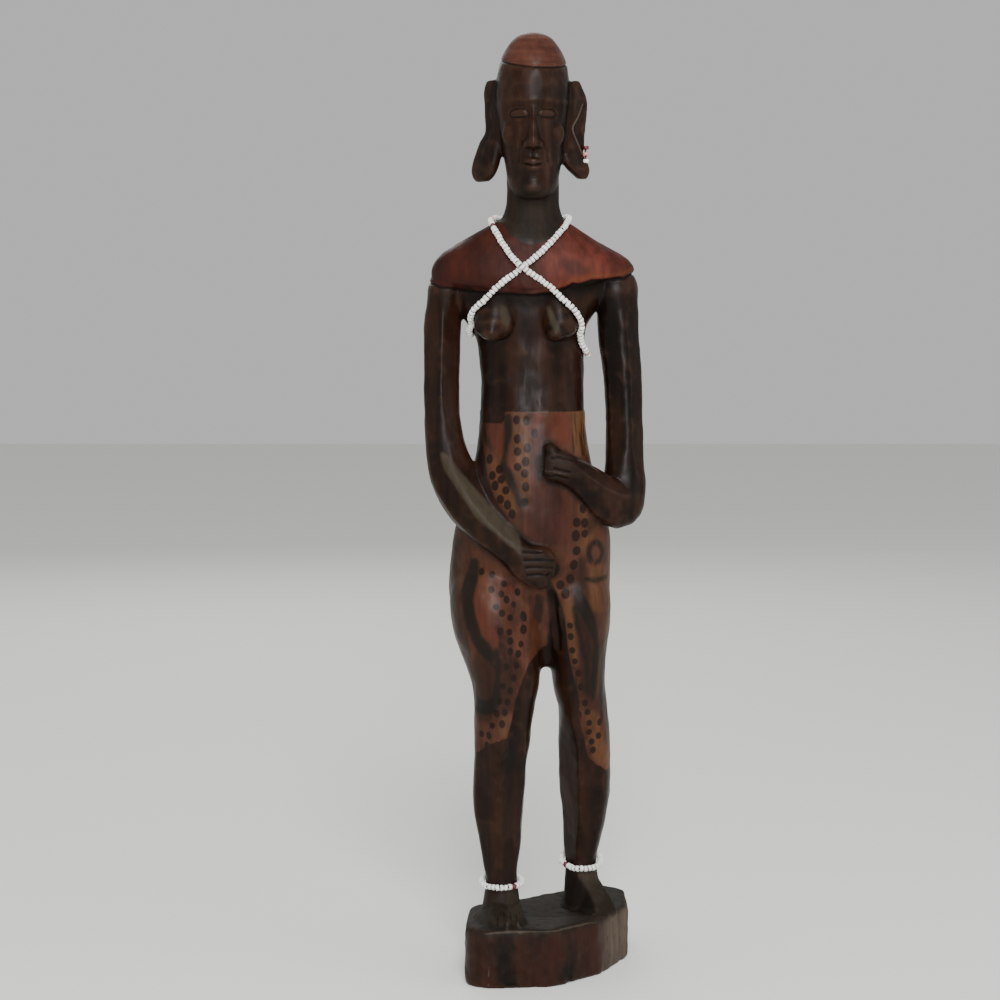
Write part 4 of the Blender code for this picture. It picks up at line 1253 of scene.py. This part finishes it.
# %% The finish of the wood
wood_finish, shader, spot = new_finish("stained_and_painted_wood")
fibre = grain(spot, 60.0, (9.0, 9.0, 0.8), 5.0, 0.6)
streak = grain(spot, 26.0, (7.0, 7.0, 0.5), 3.0, 0.5)
stroke = grain(spot, 110.0, (7.0, 7.0, 0.45), 2.0, 0.5)
end_grain = grain(spot, 40.0, (1.5, 1.5, 16.0), 3.0, 0.5)
cloud = grain(spot, 38.0, (1.0, 1.0, 0.6), 3.0, 0.5)
patch = grain(spot, 90.0, (1.0, 1.0, 0.5), 4.0, 0.6)
blotch = grain(spot, 150.0, (1.0, 1.0, 0.7), 3.0, 0.6)
speck = grain(spot, 420.0, (1.0, 1.0, 0.7), 2.0, 0.5)
shake = (patch - 0.5) * 3.2 + (speck - 0.5) * 1.6

cap = (mark_of(spot, "cap_mark") + shake * 0.25).soft(-0.5, 0.7)
yoke_paint = (mark_of(spot, "yoke_mark") + shake * 0.7).soft(-1.0, 1.4)
above_hem = (mark_of(spot, "hem_mark") + shake * 0.6 + (stroke - 0.5) * 6.0).soft(-0.8, 1.2)
wrap_paint = (mark_of(spot, "wrap_mark") + shake * 0.4).soft(-0.7, 1.0) * above_hem
dot_paint = (mark_of(spot, "dot_mark") + shake * 0.28).soft(-0.6, 0.7)
band_paint = (mark_of(spot, "band_mark") + shake * 0.9 + (blotch - 0.5) * 4.0).soft(-2.6, 2.4)
wash = (mark_of(spot, "wash_mark") + shake * 1.5 + (blotch - 0.5) * 6.0).soft(-4.0, 4.0)
salmon_paint = (mark_of(spot, "salmon_mark") + shake * 0.8).soft(-2.0, 2.5)
worn = (mark_of(spot, "worn_mark") + shake * 0.6).soft(-1.0, 3.0)
dull = mark_of(spot, "dull_mark")
smudge = (mark_of(spot, "smudge_mark") + shake * 2.0).soft(-5.0, 5.0)
rim = mark_of(spot, "rim_mark")
highlight_and_scratch = (mark_of(spot, "line_mark") + shake * 0.3).soft(-0.7, 0.7)
shade_and_stain = mark_of(spot, "shade_mark")
mottle = grain(spot, 70.0, (1.0, 1.0, 0.55), 4.0, 0.62)
olive = grain(spot, 55.0, (1.3, 1.3, 0.7), 3.0, 0.6)
red_paint = (mark_of(spot, "red_mark") + shake * 1.2 + (blotch - 0.5) * 5.0).soft(-6.0, 5.0)
tan_paint = (mark_of(spot, "tan_mark") + shake * 1.4).soft(-3.5, 4.5)
straw_area = (mark_of(spot, "straw_mark") + shake).soft(-1.5, 2.5)
bare_and_lit_wood = mark_of(spot, "bare_mark")
bare_and_lit_wood = bare_and_lit_wood * (streak * 0.25 + cloud * 0.5 + patch * 0.3).soft(0.25, 0.70)
block_stain = mark_of(spot, "block_mark")
pale_side = mark_of(spot, "pale_mark")
flap = (mark_of(spot, "flap_mark") + shake).soft(-2.0, 3.0)
ridge_wear = mark_of(spot, "ridge_mark").soft(0.06, 0.40)
hollow = (0.0 - mark_of(spot, "ridge_mark")).soft(0.06, 0.55)
broad_hollow = (0.0 - mark_of(spot, "broad_mark")).soft(0.3, 2.2)
print("paint masks ready")

# %% The colours of the wood
dark_stain = (0.0042, 0.0024, 0.0016)
warm_stain = (0.0270, 0.0088, 0.0042)
base = (mottle * 0.8 + streak * 0.7 - 0.28).soft(0.25, 0.75).blend(dark_stain, warm_stain)
base = coated(
    base,
    (olive.soft(0.52, 0.75) * 0.6, (0.0125, 0.0100, 0.0062)),
    (ridge_wear * 0.45, (0.045, 0.021, 0.011)),
    # Painted light: a lighter colour on the lit planes of the forearm, the feet and the breasts.
    (worn * (patch * 0.8 + 0.45), (0.040, 0.030, 0.019)),
    (dull * (patch * 0.9 + 0.3), (0.0135, 0.0112, 0.0078)),
    # Painted shade under the yoke's edge, where stain also gathers, and on the inner side of the
    # right foot; the hands are darker too.
    (shade_and_stain * 0.85, (0.0026, 0.0018, 0.0012)),
    (block_stain * mottle.soft(0.35, 0.65) * 0.75, (0.032, 0.0100, 0.0060)),
    # Bare end grain on the block's right end, also painted paler as a lit side.
    (bare_and_lit_wood * 0.85, (0.125, 0.098, 0.072)),
    # Painted highlights along lit edges, and one real scratch on the block's front.
    (highlight_and_scratch * (patch * 0.6 + 0.25), (0.080, 0.064, 0.050)),
)
tone = (mottle * 0.9 + streak * 0.5 - 0.25).soft(0.2, 0.75)
red_dark = tone.blend((0.0160, 0.0040, 0.0026), (0.052, 0.0110, 0.0062))
red_light = tone.blend((0.038, 0.0085, 0.0054), (0.138, 0.0320, 0.0205))
red_brown = pale_side.blend(red_dark, red_light)
red_brown = coated(
    red_brown,
    (flap * 0.5, (0.062, 0.024, 0.017)),
    (smudge * 0.6, (0.022, 0.0085, 0.0060)),
    # Painted highlight: the lit orange strip along the yoke's lower edge.
    (rim * 0.5, (0.120, 0.034, 0.013)),
)
cap_brown = (mottle * 0.5 + cloud * 0.4 + end_grain * 0.5).soft(0.45, 0.95)
cap_brown = cap_brown.blend((0.040, 0.0125, 0.0080), (0.112, 0.040, 0.026))
ground = (patch * 0.6 + streak * 0.3 + mottle * 0.5).soft(0.50, 0.88)
ground = ground.blend((0.0190, 0.0072, 0.0042), (0.096, 0.0340, 0.0175))
ground = coated(
    ground,
    (mottle.soft(0.52, 0.70) * (1.0 - salmon_paint) * 0.35, (0.0150, 0.0088, 0.0056)),
    (tan_paint * (0.35 + patch * 0.4), (0.118, 0.050, 0.0195)),
    (blotch.soft(0.50, 0.70) * 0.45, (0.100, 0.036, 0.026)),
    (red_paint * 0.85, tone.blend((0.0200, 0.0056, 0.0038), (0.066, 0.0165, 0.0105))),
    (salmon_paint * 0.75, (0.078, 0.0200, 0.0115)),
    # Dark washes: painted shade on the outer side of the left hip and leg, darker paint elsewhere,
    # and darker next to the arms.
    (wash * 0.65, (0.0125, 0.0062, 0.0036)),
    (cloud.soft(0.36, 0.62) * 0.38, (0.0160, 0.0082, 0.0054)),
)
strokes = stroke.soft(0.50, 0.62) * straw_area
ground = coated(
    ground,
    (straw_area * 0.4, (0.090, 0.045, 0.016)),
    (strokes * 0.8, (0.016, 0.0075, 0.0035)),
    # The dark bands, among them a painted shadow on the belly beside the raised hand.
    (band_paint * (patch * 0.7 + cloud * 0.3 + 0.35), (0.0068, 0.0054, 0.0038)),
    (dot_paint * (1.0 - red_paint * 0.5) * 0.88, (0.0085, 0.0035, 0.0023)),
)
colour = wrap_paint.blend(base, ground)
colour = coated(
    colour,
    (yoke_paint * (1.0 - wrap_paint), red_brown),
    (cap, cap_brown),
    (fibre.soft(0.35, 0.75) * 0.30, (0.0030, 0.0016, 0.0010)),
    (hollow * 0.75, (0.0035, 0.0020, 0.0013)),
    (broad_hollow * 0.5, (0.0045, 0.0025, 0.0016)),
)
feed(colour, shader, "Base Color")

gloss = 0.36 + (cloud - 0.5) * 0.16 + hollow * 0.25 + (fibre - 0.5) * 0.16 + bare_and_lit_wood * 0.4
gloss = gloss + dull * 0.34
gloss = gloss + yoke_paint * (1.0 - wrap_paint) * 0.14 + shade_and_stain * 0.30 + worn * 0.15
feed(gloss.clamped(), shader, "Roughness")
relief = fibre * 0.00007 + speck * 0.00002 + patch * 0.00010
bump = spot.node("ShaderNodeBump", Strength=0.8, Distance=1.0, Height=relief)
feed(Signal(spot.tree, bump.outputs[0]), shader, "Normal")
shader.inputs["Specular IOR Level"].default_value = 0.11
wood_mesh.materials.clear()
wood_mesh.materials.append(wood_finish)
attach(wood, "root")
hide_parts("carved_figure")
print("the wood is finished")

# %% [markdown]
# The beads are small opaque white glass rings on a dark red thread. Each string is drawn tight
# over the carved wood, and then hundreds of beads are set along it, none of them quite straight.

# %% Draw the strings tight over the wood
BEAD_RADIUS = 0.00105 / SHARE
BEAD_PITCH = 0.00137 / SHARE
STRING_DISTANCE = 0.00125 / SHARE


def closed_curve(points, steps=24):
    """The smooth closed curve through the points, as dense places."""
    points = np.asarray(points, float)
    wrapped = np.vstack([points[-1:], points, points[:2]])
    return through(wrapped, len(points), steps)


def even(points, count, closed=True):
    """Evenly spaced places along a line."""
    line = np.vstack([points, points[:1]]) if closed else np.asarray(points, float)
    lengths = so_far(line)
    at = np.linspace(0, lengths[-1], count, endpoint=not closed)
    return np.stack([np.interp(at, lengths, line[:, axis]) for axis in range(3)], axis=1)


def tight(points, distance, rounds=60, sink=0.14):
    """Straightens the string and holds it off the wood, round after round."""
    spots = points.copy()
    for _ in range(rounds):
        spots += 0.35 * ((np.roll(spots, 1, axis=0) + np.roll(spots, -1, axis=0)) / 2 - spots)
        for number, place in enumerate(spots):
            found, normal, _, _ = surface.find_nearest(Vector(place))
            away = Vector(place) - found
            if away.dot(normal) < 0 or away.length < distance:
                spots[number] = found + normal * distance
            else:
                inward = min(away.length - distance, sink)
                spots[number] = place - np.array(away.normalized()) * inward
    return spots


CHEST_ROUTE = [
    (-50, -10, 793), (-46, -28, 782), (-38, -40, 768), (-28, -48, 752), (-16, -54, 738),
    (4, -56, 726), (20, -58, 714), (34, -60, 705), (45, -56, 696), (53, -47, 680),
    (58, -34, 658), (61, -14, 641), (61, 8, 641), (55, 32, 658), (32, 48, 682),
    (0, 56, 696), (-30, 52, 690), (-58, 38, 676), (-72, 10, 662), (-75, -12, 664),
    (-76, -30, 674), (-74, -42, 688), (-66, -52, 700), (-54, -58, 710), (-40, -58, 719),
    (-24, -58, 730), (-6, -58, 745), (8, -52, 757), (22, -44, 770), (34, -30, 784),
    (40, -10, 795), (38, 14, 797), (26, 34, 792), (4, 42, 788), (-22, 36, 790),
    (-42, 16, 795),
]


def lifted_at_crossing(spots, rise=2.3 * BEAD_RADIUS, window=9 * BEAD_RADIUS):
    """One strand rises over the other by rise * cos(distance)**2 where they cross in front."""
    front = np.flatnonzero(spots[:, 1] < 0)
    gaps = np.linalg.norm(spots[front][:, None, [0, 2]] - spots[front][None, :, [0, 2]], axis=2)
    apart = np.abs(front[:, None] - front[None, :])
    gaps[np.minimum(apart, len(spots) - apart) < len(spots) // 8] = 1e9
    first = front[min(divmod(int(gaps.argmin()), len(front)))]
    spacing = np.linalg.norm(spots[1] - spots[0])
    steps = np.abs(np.arange(len(spots)) - first)
    along = np.minimum(steps, len(spots) - steps) * spacing
    spots = spots.copy()
    spots[:, 1] -= np.where(along < window, rise * np.cos(np.pi / 2 * along / window) ** 2, 0)
    return spots


def anklet_route(across, deep, height, radius, tip):
    """A circle round an ankle, tipped towards the toes."""
    turn = np.linspace(0, 2 * np.pi, 60, endpoint=False)
    forward = radius * np.sin(turn)
    return np.stack([across + radius * np.cos(turn), deep + forward * math.cos(tip),
                     height + forward * math.sin(tip)], axis=1)


chest_line = lifted_at_crossing(tight(even(closed_curve(CHEST_ROUTE), 300), STRING_DISTANCE))
left_line = tight(anklet_route(-37, -22, 43, 27, math.radians(4)), STRING_DISTANCE + 0.35)
right_line = tight(anklet_route(56, 38, 52, 27, math.radians(13)), STRING_DISTANCE + 0.35)
print("strings drawn tight")

# %% Beads along a line
BEAD_TURNS = 9
BEAD_PROFILE = [(-0.30, 0.36), (-0.58, 0.62), (-0.50, 0.90), (0.0, 1.0), (0.50, 0.90), (0.58, 0.62),
                (0.30, 0.36)]


def outward_at(spots):
    """The direction away from the wood at each place."""
    found = np.array([tuple(surface.find_nearest(Vector(place))[0]) for place in spots])
    return unit(spots - found)


def frame_along(line, closed):
    """Three directions at every place of a line: along it, sideways, and up from the wood."""
    if closed:
        along = unit(np.roll(line, -1, axis=0) - np.roll(line, 1, axis=0))
    else:
        along = unit(np.gradient(line, axis=0))
    up = outward_at(line)
    up = unit(up - along * (up * along).sum(1)[:, None])
    return along, np.cross(along, up), up


def bead_row(name, line, closed, seed, reds):
    """Rings on a line: spot + along * a + (side * cos + up * sin) * r, each tilted a little."""
    walked = np.vstack([line, line[:1]]) if closed else line
    lengths = np.linalg.norm(np.diff(walked, axis=0), axis=1)
    count = int(round(lengths.sum() / BEAD_PITCH))
    spots = even(line, count, closed)
    along, side, up = frame_along(spots, closed)
    chance = np.random.default_rng(seed)
    spots = spots + side * chance.uniform(-0.35, 0.35, (count, 1))
    spots = spots + up * chance.uniform(-0.1, 0.4, (count, 1))
    tilt = chance.normal(0, 0.13, (count, 2))
    along = unit(along + side * tilt[:, :1] + up * tilt[:, 1:])
    side = unit(side - along * (side * along).sum(1)[:, None])
    up = np.cross(side, along)
    size = BEAD_RADIUS * chance.uniform(0.92, 1.05, count)
    turn = np.linspace(0, 2 * np.pi, BEAD_TURNS, endpoint=False)
    profile = np.array(BEAD_PROFILE)
    ring = (side[:, None, :] * np.cos(turn)[None, :, None]
            + up[:, None, :] * np.sin(turn)[None, :, None])
    ahead_by = (profile[:, 0] * size[:, None])[..., None, None]
    out_by = (profile[:, 1] * size[:, None])[..., None, None]
    grid = (spots[:, None, None, :] + along[:, None, None, :] * ahead_by
            + ring[:, None, :, :] * out_by)
    rows, turns = len(profile), BEAD_TURNS
    index = np.arange(rows * turns).reshape(rows, turns)
    beside = np.roll(index, -1, axis=1)
    ahead = np.roll(index, -1, axis=0)
    both = np.roll(beside, -1, axis=0)
    quads = np.stack([index, ahead, both, beside], axis=-1).reshape(-1, 4)
    faces = (quads[None] + (np.arange(len(grid)) * rows * turns)[:, None, None]).reshape(-1, 4)
    mesh = mesh_of(name, metres(grid.reshape(-1, 3)), [faces])
    tone = np.zeros(len(grid))
    for red, value in reds:
        tone[np.linalg.norm(spots - red, axis=1).argmin()] = value
    shade = chance.uniform(0, 1, len(grid))
    for label, values in (("bead_tone", tone), ("bead_shade", shade)):
        layer = mesh.attributes.new(label, "FLOAT", "POINT")
        layer.data.foreach_set("value", np.repeat(values, rows * turns).astype(np.float32))
    mesh.shade_smooth()
    return mesh


def thread_mesh(name, line, closed, radius):
    """A tube along the line: line + (side * cos + up * sin) * radius."""
    _, side, up = frame_along(line, closed)
    turn = np.linspace(0, 2 * np.pi, 6, endpoint=False)
    grid = (line[:, None, :] + (side[:, None, :] * np.cos(turn)[None, :, None]
                                + up[:, None, :] * np.sin(turn)[None, :, None]) * radius)
    index = np.arange(grid.shape[0] * 6).reshape(-1, 6)
    beside = np.roll(index, -1, axis=1)
    if closed:
        corners = [index, beside, np.roll(beside, -1, axis=0), np.roll(index, -1, axis=0)]
        quads = np.stack(corners, axis=-1)
        faces = [quads.reshape(-1, 4)]
    else:
        faces = closed_faces(len(line), 6)
    return mesh_of(name, metres(grid.reshape(-1, 3)), faces)


print("a bead has", len(BEAD_PROFILE) * BEAD_TURNS, "faces")

# %% The finishes of beads and thread
bead_finish, bead_shader, bead_spot = new_finish("white_glass_beads")
tone = mark_of(bead_spot, "bead_tone")
shade = mark_of(bead_spot, "bead_shade")
white = shade.blend((0.72, 0.72, 0.66), (0.88, 0.88, 0.84))
milky = grain(bead_spot, 900.0, (1, 1, 1), 2.0).soft(0.45, 0.8) * 0.3
white = milky.blend(white, (0.50, 0.46, 0.40))
tinted = tone.soft(0.05, 0.5).blend(white, (0.55, 0.25, 0.24))
tinted = tone.soft(0.6, 0.95).blend(tinted, (0.095, 0.008, 0.012))
feed(tinted, bead_shader, "Base Color")
feed(0.24 + shade * 0.14, bead_shader, "Roughness")

thread_finish, thread_shader, thread_spot = new_finish("red_thread")
feed(grain(thread_spot, 2400.0, (1, 1, 1), 2.0).blend((0.060, 0.006, 0.012), (0.130, 0.018, 0.028)),
     thread_shader, "Base Color")
thread_shader.inputs["Roughness"].default_value = 0.85

# %% Thread the beads
ear_line = np.array([(57.8, 11, 873), (57.6, 10.5, 868), (57.8, 10, 862), (58, 10, 858)], float)
strings = [
    ("chest_string", "chest_beads", chest_line, True, 5,
     [((-9, -49, 732), 1.0), ((-48, -6, 788), 0.5), ((-45, -24, 783), 1.0), ((60, -12, 640), 0.5)]),
    ("ear_string", "ear_beads", ear_line, False, 8,
     [((57.8, 11, 873), 1.0), ((57.6, 10.5, 868), 0.5)]),
    ("left_anklet", "left_ankle_beads", left_line, True, 6, [((-17, -47, 43), 1.0)]),
    ("right_anklet", "right_ankle_beads", right_line, True, 7, [((34, 26, 46), 1.0)]),
]
for name, node, line, closed, seed, reds in strings:
    beads_mesh = bead_row(name, line, closed, seed, reds)
    beads_mesh.materials.append(bead_finish)
    piece = added(name, beads_mesh)
    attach(piece, "root")
    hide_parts(node)
    label = name + "_thread"
    thread = added(label, thread_mesh(label, line, closed, 0.30 * BEAD_RADIUS))
    thread.data.materials.append(thread_finish)
    thread.data.shade_smooth()
    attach(thread, "root")
    print(name, "faces", len(beads_mesh.polygons))

# %% [markdown]
# A plain pale floor and large soft lights, as in a small studio. The dark polish shows mostly
# what it mirrors, so the lights are broad and the surroundings pale.

# %% Floor and light
FLOOR_CORNERS = [(-3, -3, 0), (3, -3, 0), (3, 3, 0), (-3, 3, 0)]
floor_mesh = mesh_of("pale_floor", np.array(FLOOR_CORNERS, float),
                     [np.array([[0, 1, 2, 3]])])
floor = added("pale_floor", floor_mesh)
floor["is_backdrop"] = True
floor_finish, floor_shader, _ = new_finish("pale_paper")
floor_shader.inputs["Base Color"].default_value = (0.86, 0.86, 0.83, 1.0)
floor_shader.inputs["Roughness"].default_value = 0.9
floor_mesh.materials.append(floor_finish)


def soft_light(name, place, aim, size, power, colour=(1.0, 1.0, 1.0)):
    """A square area light at a place, turned to a point."""
    data = bpy.data.lights.new(name, "AREA")
    data.size = size
    data.energy = power
    data.color = colour
    light = bpy.data.objects.new(name, data)
    light.location = place
    light.rotation_euler = (Vector(aim) - Vector(place)).to_track_quat("-Z", "Y").to_euler()
    bpy.context.scene.collection.objects.link(light)
    return light


soft_light("key_light", (0.08, -0.95, 1.05), (0, 0, 0.15), 0.38, 11.5)
soft_light("front_light", (0.0, -1.20, 0.46), (0, 0, 0.19), 0.22, 8.0, (0.97, 0.96, 1.0))
soft_light("right_light", (0.80, -0.35, 0.45), (0, 0, 0.15), 0.60, 1.8)
soft_light("left_light", (-0.80, -0.20, 0.40), (0, 0, 0.15), 0.60, 0.8)
soft_light("back_light", (-0.20, 0.90, 0.70), (0, 0, 0.15), 0.60, 3.0)
world = bpy.data.worlds.new("pale_room")
bpy.context.scene.world = world
world.use_nodes = True
world.node_tree.nodes["Background"].inputs[0].default_value = (0.80, 0.82, 0.80, 1.0)
world.node_tree.nodes["Background"].inputs[1].default_value = 0.68
print("lights placed")

# %% Print the size of the exact and the finished model
visual_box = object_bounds()
for label, box in (("exact", cad_box), ("finished", visual_box)):
    print(label, [round(float(value) * 1000, 2) for corner in box for value in corner])
